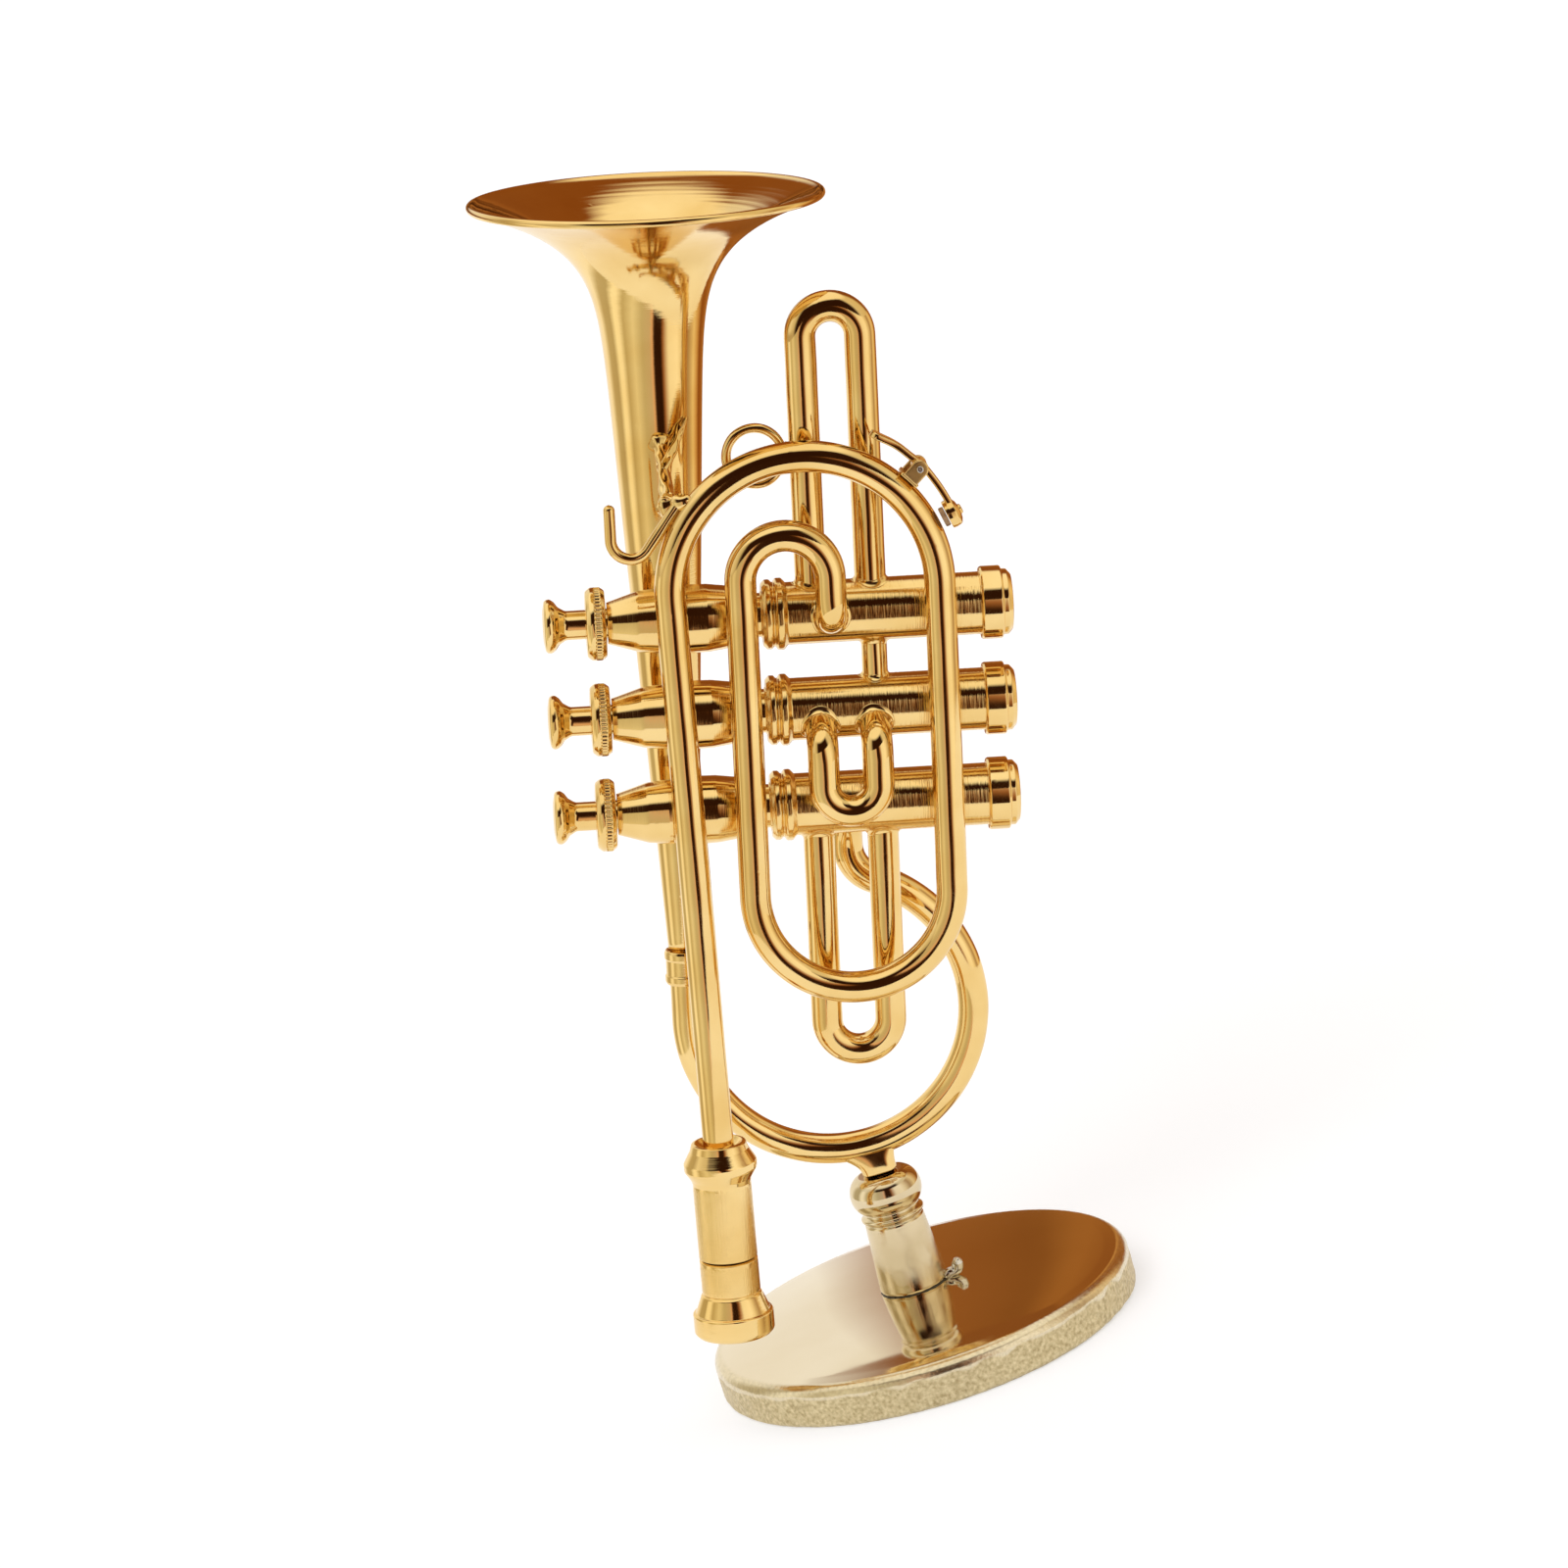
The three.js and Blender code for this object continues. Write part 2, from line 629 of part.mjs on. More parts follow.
function topCap() {
  const bore = STEM_R + STEM_CLEARANCE;
  const middle = TOP_CAP_X + TOP_CAP_W / 2;
  return turned(
    [
      [bore, TOP_CAP_X],
      [TOP_CAP_R - 0.9, TOP_CAP_X],
      [TOP_CAP_R - 0.2, middle - 0.6],
      [TOP_CAP_R, middle - 0.3],
      [TOP_CAP_R, middle + 0.3],
      [TOP_CAP_R - 0.2, middle + 0.6],
      [TOP_CAP_R - 0.9, TOP_CAP_X + TOP_CAP_W],
      [bore, TOP_CAP_X + TOP_CAP_W],
    ],
    VALVE_SIDES,
  );
}

const PISTON_X = CASING_BEAD_X - BEAD_W + BARREL_SPIGOT_L + 0.6;

// The button and its long stem are one turned piece.
function button() {
  return turned(
    [
      [0, BUTTON_X],
      [BUTTON_R - 1.0, BUTTON_X + 0.06],
      [BUTTON_R - 0.2, BUTTON_X + 0.4],
      [BUTTON_R, BUTTON_X + 0.8],
      [BUTTON_R - 0.25, BUTTON_X + 1.25],
      [STEM_R + 0.35, BUTTON_X + BUTTON_T - 0.1],
      [STEM_R, BUTTON_X + BUTTON_T + 0.35],
      [STEM_R, PISTON_X - CAP_GAP],
      [0, PISTON_X - CAP_GAP],
    ],
    VALVE_SIDES,
  );
}

// A piston with a blind bore for the spring.
function piston() {
  const radius = CASING_BORE_R - PISTON_CLEARANCE;
  const end = PISTON_X + PISTON_L;
  return turned(
    [
      [0, PISTON_X],
      [radius, PISTON_X],
      [radius, end],
      [radius - PISTON_WALL, end],
      [radius - PISTON_WALL, PISTON_X + PISTON_CROWN],
      [0, PISTON_X + PISTON_CROWN],
    ],
    VALVE_SIDES,
  );
}

const CAP_FLOOR_X = CASING_END_X + SOLDER_GAP;

// A coil spring that stands on the bottom cap, drawn as long as it is when pressed.
function spring() {
  const radius =
    CASING_BORE_R - PISTON_CLEARANCE - PISTON_WALL - SPRING_WIRE_R - 0.15;
  const low = PISTON_X + PISTON_CROWN + VALVE_TRAVEL + 2 * SPRING_WIRE_R;
  const high = CAP_FLOOR_X - 2 * SPRING_WIRE_R;
  const steps = SPRING_TURNS * 8;
  const helix = new Route(at(0, 0, 0), Z);
  helix.stations = Array.from({ length: steps + 1 }, (_, i) => {
    const angle = (2 * Math.PI * i) / 8;
    const rise = (high - low) / (2 * Math.PI * SPRING_TURNS);
    return {
      point: at(
        radius * Math.cos(angle),
        radius * Math.sin(angle),
        low + rise * angle,
      ),
      heading: at(
        -radius * Math.sin(angle),
        radius * Math.cos(angle),
        rise,
      ).normalize(),
    };
  });
  return tube(helix, SPRING_WIRE_R, 0, 4);
}

// A screwed cap over the casing's end.
function bottomCap() {
  const skirtR = CASING_R + 0.12;
  const start = CAP_FLOOR_X - BOTTOM_CAP_SKIRT;
  const end = start + BOTTOM_CAP_W;
  const outerR = skirtR + CAP_WALL;
  return turned(
    [
      [0, CAP_FLOOR_X],
      [skirtR, CAP_FLOOR_X],
      [skirtR, start],
      [outerR - 0.2, start],
      [outerR, start + 0.3],
      [outerR, end - 0.6],
      [outerR - 0.6, end],
      [0, end],
    ],
    VALVE_SIDES,
  );
}

VALVE_Z.forEach((z, i) => {
  const number = i + 1;
  const turnedParts = new THREE.Group();
  turnedParts.position.z = z;
  turnedParts.rotation.y = Math.PI / 2;
  cornet.add(turnedParts);
  part(`valve_${number}_casing`, casing(PORTS[i]), gold(), cornet).position.z = z;
  part(`valve_${number}_barrel`, barrel(), gold(), turnedParts);
  part(`valve_${number}_top_cap`, topCap(), gold(), turnedParts);
  part(`valve_${number}_button`, button(), gold(), turnedParts);
  part(`valve_${number}_piston`, piston(), gold(), turnedParts);
  part(`valve_${number}_spring`, spring(), steel(), turnedParts);
  part(`valve_${number}_bottom_cap`, bottomCap(), gold(), turnedParts);
});

// ---------------------------------------------------------------- slides and knuckles
// A hairpin of tubing out of one side of a valve and back into it.
function hairpin({ x, reach }, valveZ, way) {
  const radius = (x[1] - x[0]) / 2;
  const leg = reach - radius - PORT_END_R;
  const heading = at(0, 0, way);
  return new Route(at(x[0], 0, valveZ + way * PORT_END_R), heading)
    .go(leg)
    .turn(Y.clone().multiplyScalar(way), radius, Math.PI, 10)
    .go(leg);
}
const slideTube = (route) => tube(route, TUBE_R, TUBE_BORE_R);
part("first_slide", slideTube(hairpin(FIRST_SLIDE, VALVE_Z[0], 1)), gold(), cornet);
part("third_slide", slideTube(hairpin(THIRD_SLIDE, VALVE_Z[2], -1)), gold(), cornet);

// The second slide leaves its valve forwards, bends down in front of valve 3 and back.
function secondSlideRoute() {
  const { x, reach, bend } = SECOND_SLIDE;
  const dip = SECOND_SLIDE_DIP;
  const out =
    (-SECOND_SLIDE_Y - bend * (1 - Math.sin(dip))) / Math.cos(dip) - PORT_END_R;
  const radius = (x[1] - x[0]) / 2;
  const start = at(x[0], 0, 0).addScaledVector(forward(dip), PORT_END_R);
  const route = new Route(start, forward(dip))
    .go(out)
    .turn(X, bend, Math.PI / 2 - dip, 4);
  const drop = reach - radius + route.end.point.z;
  return route
    .go(drop)
    .turn(Y.clone().negate(), radius, Math.PI, 10)
    .go(drop)
    .turn(X.clone().negate(), bend, Math.PI / 2 - dip, 4)
    .go(out);
}
part("second_slide", slideTube(secondSlideRoute()), gold(), cornet);

[0, 1].forEach((i) => {
  const from = at(KNUCKLE_X, 0, VALVE_Z[i + 1] + PORT_END_R);
  const to = at(KNUCKLE_X, 0, VALVE_Z[i] - PORT_END_R);
  part(`knuckle_${i + 1}_${i + 2}`, rod(from, to, KNUCKLE_R), gold(), cornet);
});

// ---------------------------------------------------------------- finger ring, hook, brace
const ringX = FIRST_SLIDE.x[0] - TUBE_R - 0.2 - RING_R - RING_WIRE_R;
part(
  "finger_ring",
  weld(new THREE.TorusGeometry(RING_R, RING_WIRE_R, 6, 20).rotateX(Math.PI / 2)),
  gold(),
  cornet,
).position.set(ringX, 0, VALVE_Z[0] + RING_RISE);

// A point of the cornet `out` beyond the middle of the top bend's tube.
const onTopBend = (degrees, out, y = COIL_Y) => {
  const angle = THREE.MathUtils.degToRad(degrees);
  const radius = TOP_BEND_R + out;
  return at(
    TOP_BEND_X + radius * Math.cos(angle),
    y,
    TOP_BEND_Z + radius * Math.sin(angle),
  );
};

// A wire hook for the little finger, from the top bend's outside down and up again.
function fingerHook() {
  const start = onTopBend(139, TUBE_R + HOOK_WIRE_R + SOLDER_GAP);
  const slope = THREE.MathUtils.degToRad(211); // heading, from x towards z
  const heading = at(Math.cos(slope + 0.5), 0, Math.sin(slope + 0.5));
  const route = new Route(start, heading)
    .turn(Y, 16, 0.1, 1)
    .go(4.6)
    .turn(Y, 1.9, Math.PI * 0.8, 7)
    .go(3.4);
  return tube(route, HOOK_WIRE_R, 0, 8);
}
part("finger_hook", fingerHook(), gold(), cornet);

// A short strut from the top bend back to the bell.
function bellBrace() {
  const from = onTopBend(146, TUBE_R + BRACE_R + 0.25, COIL_Y + 0.9);
  const topZ = from.z + 5.0;
  const endY = BELL_Y - bellRadiusAt(topZ) - SOLDER_GAP - BRACE_R * 0.4;
  const to = at(BELL_X, endY, topZ);
  return rod(from, to, BRACE_R, 8);
}
part("bell_brace", bellBrace(), gold(), cornet);

// ---------------------------------------------------------------- water key
// Its own frame stands on the top bend: x along the tube, z out from it, y as before,
// with the pivot at the origin.
const key = new THREE.Group();
key.position.set(
  TOP_BEND_X + KEY_PIVOT_R * Math.cos(KEY_ANGLE),
  COIL_Y,
  TOP_BEND_Z + KEY_PIVOT_R * Math.sin(KEY_ANGLE),
);
key.rotation.y = Math.PI / 2 - KEY_ANGLE;
cornet.add(key);
const keyTubeZ = -KEY_PIVOT_RISE; // the tube's surface under the pivot
const earY = (KEY_STRIP_W + KEY_EAR_T) / 2 + KEY_EAR_GAP;
const pinHole = (half) =>
  rod(at(0, -half, 0), at(0, half, 0), KEY_PIN_R + KEY_PIN_CLEARANCE, 12);

// A foot on the tube with two ears that carry the pin.
function keySaddle() {
  const footT = 0.5;
  const footZ = keyTubeZ + SOLDER_GAP + footT / 2;
  const earH = KEY_HUB_R - footZ;
  const ears = [-earY, earY].map((y) =>
    block(0, y, footZ + earH / 2, 1.7, KEY_EAR_T, earH),
  );
  const foot = block(0, 0, footZ, 1.7, 2 * earY + KEY_EAR_T, footT);
  return shaped(foot, { add: ears, cut: [pinHole(earY + KEY_EAR_T)] });
}
part("water_key_saddle", keySaddle(), gold(), key);

const pinHalf = earY + KEY_EAR_T / 2 + 0.25;
part(
  "water_key_pin",
  rod(at(0, -pinHalf, 0), at(0, pinHalf, 0), KEY_PIN_R, 12),
  steel(),
  key,
);

// The pad's place: square to the tube, KEY_PAD_ANGLE further round the bend.
const padFrame = (out) => {
  const radius = TOP_BEND_R + TUBE_R + out;
  return at(
    radius * Math.sin(KEY_PAD_ANGLE),
    0,
    radius * Math.cos(KEY_PAD_ANGLE) - KEY_PIVOT_R,
  );
};
const drum = (radius, height, out, sides) => {
  const centre = padFrame(out + height / 2);
  return weld(new THREE.CylinderGeometry(radius, radius, height, sides))
    .rotateX(Math.PI / 2)
    .rotateY(KEY_PAD_ANGLE)
    .translate(centre.x, 0, centre.z);
};
const corkOut = 0.3;
const cupOut = corkOut + KEY_CORK_H + CAP_GAP;

// A hub on the pin, a long arm for the finger and a short arm that ends in a cup.
function keyLever() {
  const hub = rod(at(0, -KEY_STRIP_W / 2, 0), at(0, KEY_STRIP_W / 2, 0), KEY_HUB_R, 14);
  const arm = block(
    -KEY_ARM_L / 2,
    0,
    -KEY_ARM_DROP / 2 + 0.3,
    Math.hypot(KEY_ARM_L, KEY_ARM_DROP),
    KEY_STRIP_W,
    KEY_STRIP_T,
    -Math.atan2(KEY_ARM_DROP, KEY_ARM_L),
  );
  const cup = padFrame(cupOut + KEY_CUP_H * 0.7);
  const shortArm = block(
    cup.x / 2,
    0,
    (cup.z + 0.3) / 2,
    Math.hypot(cup.x, cup.z - 0.3),
    KEY_STRIP_W,
    KEY_STRIP_T,
    Math.atan2(0.3 - cup.z, cup.x),
  );
  const cupDrum = drum(KEY_CUP_R, KEY_CUP_H, cupOut, 14);
  return shaped(hub, {
    add: [arm, shortArm, cupDrum],
    cut: [pinHole(KEY_STRIP_W)],
  });
}
part("water_key_lever", keyLever(), gold(), key);
part("water_key_cork", drum(KEY_CORK_R, KEY_CORK_H, corkOut, 12), cork(), key);

export default object;
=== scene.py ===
import json
import math

import bmesh
import bpy
import numpy as np
from mathutils import Matrix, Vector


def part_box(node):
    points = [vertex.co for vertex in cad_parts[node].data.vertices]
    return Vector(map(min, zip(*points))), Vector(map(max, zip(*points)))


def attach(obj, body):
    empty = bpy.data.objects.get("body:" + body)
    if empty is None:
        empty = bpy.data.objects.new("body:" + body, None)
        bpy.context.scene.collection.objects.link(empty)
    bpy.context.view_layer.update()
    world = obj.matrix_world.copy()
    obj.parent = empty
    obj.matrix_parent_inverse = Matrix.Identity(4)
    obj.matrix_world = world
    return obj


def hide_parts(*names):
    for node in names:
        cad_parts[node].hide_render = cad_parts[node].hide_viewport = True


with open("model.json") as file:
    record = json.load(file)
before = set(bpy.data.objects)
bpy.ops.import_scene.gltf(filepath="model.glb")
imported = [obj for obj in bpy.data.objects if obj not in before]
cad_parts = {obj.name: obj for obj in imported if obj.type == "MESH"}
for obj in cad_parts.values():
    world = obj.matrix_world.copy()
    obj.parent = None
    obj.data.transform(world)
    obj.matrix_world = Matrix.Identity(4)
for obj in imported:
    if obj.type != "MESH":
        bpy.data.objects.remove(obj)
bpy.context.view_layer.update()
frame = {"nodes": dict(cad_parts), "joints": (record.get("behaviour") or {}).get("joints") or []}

MM = 0.001

# ---------------------------------------------------------------- camera
# A long lens a little above the cornet, facing its coiled leadpipe. The camera is rolled, so
# the cornet looks nearly upright and its stand leans.
azimuth = math.radians(0.89)
elevation = math.radians(13.67)
roll = math.radians(-17.08)
ahead = np.array([-math.sin(azimuth) * math.cos(elevation),
                  math.cos(azimuth) * math.cos(elevation),
                  -math.sin(elevation)])
right = np.array([math.cos(azimuth), math.sin(azimuth), 0.0])
above = np.cross(right, ahead)
rolled_right = math.cos(roll) * right + math.sin(roll) * above
rolled_above = math.cos(roll) * above - math.sin(roll) * right
lens = bpy.data.cameras.new("camera")
lens.sensor_width = 36
lens.lens = 135
lens.clip_end = 20
CAMERA_PLACE = (0.01083, -0.55666, 0.19387)


def put(name, data):
    """A new object in the scene that holds a camera, a light or a mesh."""
    made = bpy.data.objects.new(name, data)
    bpy.context.scene.collection.objects.link(made)
    return made


camera = put("camera", lens)
turn = Matrix([rolled_right, rolled_above, -ahead]).transposed().to_4x4()
camera.matrix_world = Matrix.Translation(CAMERA_PLACE) @ turn
bpy.context.scene.camera = camera


# ---------------------------------------------------------------- floor and light
# A wide pale floor under a soft studio, bright overhead. A low ring of lit cloth round the cornet
# shows only in its polish: pale panels, a dark gap where the camera looks in, brown behind.
def nodes_of(tree):
    """Clears a node tree and returns a short way to add a node, set it up and link its inputs."""
    tree.nodes.clear()

    def add(kind, inputs=None, **settings):
        node = tree.nodes.new("ShaderNode" + kind)
        for name, value in settings.items():
            setattr(node, name, value)
        for name, value in (inputs or {}).items():
            if isinstance(value, bpy.types.NodeSocket):
                tree.links.new(value, node.inputs[name])
            else:
                node.inputs[name].default_value = value
        return node

    return add


def blank(name):
    """A new material, and the way to add nodes to it."""
    material = bpy.data.materials.new(name)
    material.use_nodes = True
    return material, nodes_of(material.node_tree)


def maths(add, operation, first, second):
    """A sum, product or arc tangent of two numbers."""
    return add("Math", {0: first, 1: second}, operation=operation).outputs[0]


def mapped(add, value, from_low, from_high, low=0, high=1):
    """`value` moved in proportion from from_low..from_high to low..high, and kept within."""
    node = add("MapRange", {"Value": value, "From Min": from_low, "From Max": from_high,
                            "To Min": low, "To Max": high})
    return node.outputs["Result"]


def ramp(add, factor, stops):
    """A colour ramp over `factor` from (place, colour) stops."""
    node = add("ValToRGB", {"Fac": factor})
    elements = node.color_ramp.elements
    elements.remove(elements[1])
    elements[0].position = stops[0][0]
    elements[0].color = (*stops[0][1], 1)
    for place, colour in stops[1:]:
        elements.new(place).color = (*colour, 1)
    return node.outputs["Color"]


def between(add, factor, low, high):
    """The colour `factor` of the way from `low` to `high`."""
    node = add("Mix", {"Factor": factor}, data_type="RGBA")
    for socket, value in ((node.inputs[6], low), (node.inputs[7], high)):
        if isinstance(value, bpy.types.NodeSocket):
            node.id_data.links.new(value, socket)
        else:
            socket.default_value = (*value, 1)
    return node.outputs[2]


def turns(count):
    """`count` angles evenly round a circle."""
    return np.arange(count) * 2 * np.pi / count


FLOOR_R = 6.0
FLOOR_SIDES = 96
FLOOR_DROP = 0.00002
floor_mesh = bpy.data.meshes.new("floor")
floor_angle = turns(FLOOR_SIDES)
floor_mesh.from_pydata(
    np.stack([FLOOR_R * np.cos(floor_angle), FLOOR_R * np.sin(floor_angle),
              0 * floor_angle - FLOOR_DROP], 1).tolist(),
    [], [list(range(FLOOR_SIDES))])
floor = put("floor", floor_mesh)
floor_paint, add = blank("floor_paint")
matt = add("BsdfPrincipled", {"Base Color": (0.60, 0.615, 0.66, 1), "Roughness": 0.9,
                              "Specular IOR Level": 0.1,
                              "Emission Color": (0.97, 0.99, 1.04, 1), "Emission Strength": 0.5})
add("OutputMaterial", {"Surface": matt.outputs["BSDF"]})
floor_mesh.materials.append(floor_paint)


def bearing_share(add, vector):
    """0..1 for a direction's bearing: 0.5 in front, 0.25 to the left, 0.75 to the right."""
    way = add("SeparateXYZ", {"Vector": vector})
    front = maths(add, "MULTIPLY", way.outputs["Y"], -1.0)
    bearing = maths(add, "ARCTAN2", way.outputs["X"], front)
    return mapped(add, bearing, -math.pi, math.pi)


TENT_R = 0.15
TENT_TOP = 0.115
TENT_SIDES = 120
DARK = (0.03, 0.010, 0.004)
TENT_CLOTH = [
    (-180, (0.30, 0.10, 0.02)), (-173, (0.92, 0.87, 0.80)),
    (-135, (1.00, 0.97, 0.90)), (-118, (0.56, 0.49, 0.34)),
    (-100, (0.52, 0.46, 0.32)), (-88, (1.05, 1.02, 0.92)), (-80, (1.02, 0.98, 0.88)),
    (-68, (0.56, 0.49, 0.32)), (-48, (0.82, 0.77, 0.62)), (-30, (0.58, 0.53, 0.39)),
    (-13, (0.60, 0.50, 0.40)), (-8, (0.82, 0.50, 0.36)), (-4, DARK), (12, DARK),
    (17, (0.34, 0.14, 0.06)), (30, (0.97, 0.92, 0.84)), (52, (1.05, 1.00, 0.92)),
    (66, (0.84, 0.74, 0.58)), (84, (0.44, 0.30, 0.18)), (104, (0.88, 0.72, 0.46)),
    (120, (0.62, 0.36, 0.14)), (132, (0.27, 0.085, 0.015)), (141, (0.36, 0.13, 0.025)),
    (145, (0.24, 0.07, 0.012)), (149, (0.52, 0.22, 0.05)), (152, (0.25, 0.075, 0.012)),
    (160, (0.60, 0.28, 0.07)), (163, (0.26, 0.08, 0.014)),
    (168, (0.36, 0.13, 0.025)), (172, (0.24, 0.08, 0.015)), (180, (0.30, 0.10, 0.02))]
tent_angle = turns(TENT_SIDES)
tent_ring = np.stack([TENT_R * np.sin(tent_angle), -TENT_R * np.cos(tent_angle), 0 * tent_angle], 1)
tent_here = np.arange(TENT_SIDES)
tent_next = (tent_here + 1) % TENT_SIDES
tent_mesh = bpy.data.meshes.new("tent")
tent_mesh.from_pydata(
    np.concatenate([tent_ring, tent_ring + (0, 0, TENT_TOP)]).tolist(), [],
    np.stack([tent_here, tent_next, tent_next + TENT_SIDES, tent_here + TENT_SIDES], 1).tolist())
tent = put("tent", tent_mesh)
tent_cloth, add = blank("tent_cloth")
cloth = ramp(add, bearing_share(add, add("TexCoord").outputs["Object"]),
             [((degrees + 180) / 360, colour) for degrees, colour in TENT_CLOTH])
lit = add("Emission", {"Color": cloth, "Strength": 1.12})
add("OutputMaterial", {"Surface": lit.outputs[0]})
tent_mesh.materials.append(tent_cloth)
tent.visible_camera = False
tent.visible_diffuse = False
tent.visible_shadow = False

world = bpy.data.worlds.new("studio")
bpy.context.scene.world = world
world.use_nodes = True
add = nodes_of(world.node_tree)
sky = add("TexCoord").outputs["Generated"]
sky_height = add("SeparateXYZ", {"Vector": sky}).outputs["Z"]
WALL_BROWN = (0.28, 0.09, 0.018)
CREAM = (0.95, 0.91, 0.84)
sky_share = bearing_share(add, sky)
around = ramp(add, sky_share, [
    (0.00, WALL_BROWN), (0.01, WALL_BROWN), (0.03, CREAM), (0.13, CREAM),
    (0.20, (0.55, 0.48, 0.34)), (0.26, (1.0, 0.96, 0.86)),
    (0.36, (0.70, 0.63, 0.48)), (0.40, DARK), (0.62, DARK), (0.66, (0.85, 0.78, 0.64)),
    (0.80, (0.85, 0.74, 0.52)), (0.86, WALL_BROWN), (1.00, WALL_BROWN)])
low_around = ramp(add, sky_share, [
    (0.20, (0.55, 0.45, 0.30)), (0.36, (0.60, 0.52, 0.38)), (0.40, DARK), (0.62, DARK),
    (0.66, (0.85, 0.78, 0.64)), (0.78, (0.80, 0.66, 0.44))])
grooves = add("Mapping", {"Vector": sky, "Scale": (3.0, 3.0, 26.0)}).outputs["Vector"]
bands = add("TexNoise", {"Vector": grooves, "Scale": 1.0, "Detail": 3.0}).outputs["Fac"]
wall = between(add, mapped(add, bands, 0.42, 0.58), (0.07, 0.018, 0.003), (0.46, 0.17, 0.035))
behind = ramp(add, sky_share, [(0.0, (1, 1, 1)), (0.15, (1, 1, 1)), (0.19, (0, 0, 0)),
                               (0.82, (0, 0, 0)), (0.86, (1, 1, 1))])
low_around = between(add, behind, low_around, wall)
OVERHEAD = (1.14, 1.08, 0.96)
room = between(add, mapped(add, sky_height, 0.16, 0.30), low_around, around)
room = between(add, mapped(add, sky_height, 0.70, 0.80), room, OVERHEAD)
glow = add("Background", {"Color": room, "Strength": 1.0})
plain = add("Background", {"Color": (1.0, 1.0, 0.995, 1), "Strength": 1.0})
seen = add("MixShader", {"Fac": add("LightPath").outputs["Is Camera Ray"],
                         1: glow.outputs[0], 2: plain.outputs[0]})
add("OutputWorld", {"Surface": seen.outputs[0]})

sun = bpy.data.lights.new("soft_key", "SUN")
sun.energy = 0.9
sun.angle = math.radians(35)
sun.color = (1.0, 0.97, 0.92)
key_light = put("soft_key", sun)
key_light.rotation_euler = (math.radians(38), math.radians(-28), 0)
key_light.visible_glossy = False
bpy.context.scene.view_settings.view_transform = "Standard"


# ---------------------------------------------------------------- base disc
# A disc sheared from thick plate, with a polished, slightly domed top and a rounded lip. The
# side is left as the shears leave it, grey-gold and granular, and the post's stud goes in its hole.
def rounded(corners, step):
    """An outline through (radius, height, rounding) corners, at most `step` between points.

    A corner with a rounding becomes an arc that touches both its sides: the arc's centre is
    rounding / sin(half the corner's angle) away from the corner, along the bisector.
    """
    places = np.array([corner[:2] for corner in corners], float)
    parts = [places[:1]]
    for i in range(1, len(corners) - 1):
        here = places[i]
        sides = np.array([places[i - 1] - here, places[i + 1] - here])
        lengths = np.linalg.norm(sides, axis=1)
        rays = sides / lengths[:, None]
        half = math.acos(np.clip(rays[0] @ rays[1], -1, 1)) / 2
        reach = min(corners[i][2] / max(math.tan(half), 1e-6), 0.49 * lengths.min())
        sweep = math.pi - 2 * half
        if reach < 1e-4 or sweep < 1e-3:
            parts.append(here[None])
            continue
        rounding = reach * math.tan(half)
        middle = rays.sum(0) / np.linalg.norm(rays.sum(0))
        centre = here + middle * rounding / math.sin(half)
        arms = here + rays * reach - centre
        t = np.linspace(0, 1, max(4, int(sweep / 0.2)))[:, None]
        arc = np.sin((1 - t) * sweep) * arms[0] + np.sin(t * sweep) * arms[1]
        parts.append(centre + arc / math.sin(sweep))
    parts.append(places[-1:])
    path = np.concatenate(parts)
    way = np.concatenate([[0], np.cumsum(np.linalg.norm(np.diff(path, axis=0), axis=1))])
    even = np.arange(step, way[-1], step)
    near = np.abs(even[:, None] - way[None]).min(1)
    stations = np.unique(np.concatenate([way, even[near > 0.35 * step]]))
    return np.stack([np.interp(stations, way, path[:, k]) for k in (0, 1)], 1)


def round_it(outline, sides):
    """Angle, radius and height at every point of an outline carried round an axis."""
    angle, r = np.meshgrid(turns(sides), outline[:, 0])
    return angle, r, outline[:, 1][:, None] + 0 * angle


def spun(outline, sides, foot, axis, side, dent=None):
    """Points of a turned shape. A point at radius r and height h of the outline and at angle a
    round it is foot + h axis + r (cos a side + sin a (axis x side)). `dent` gives what to
    add to r for (angle, r, h)."""
    angle, r, h = round_it(outline, sides)
    if dent is not None:
        r = r + dent(angle, r, h)
    other = np.cross(axis, side)
    return (foot + h[..., None] * axis
            + r[..., None] * (np.cos(angle)[..., None] * side + np.sin(angle)[..., None] * other))


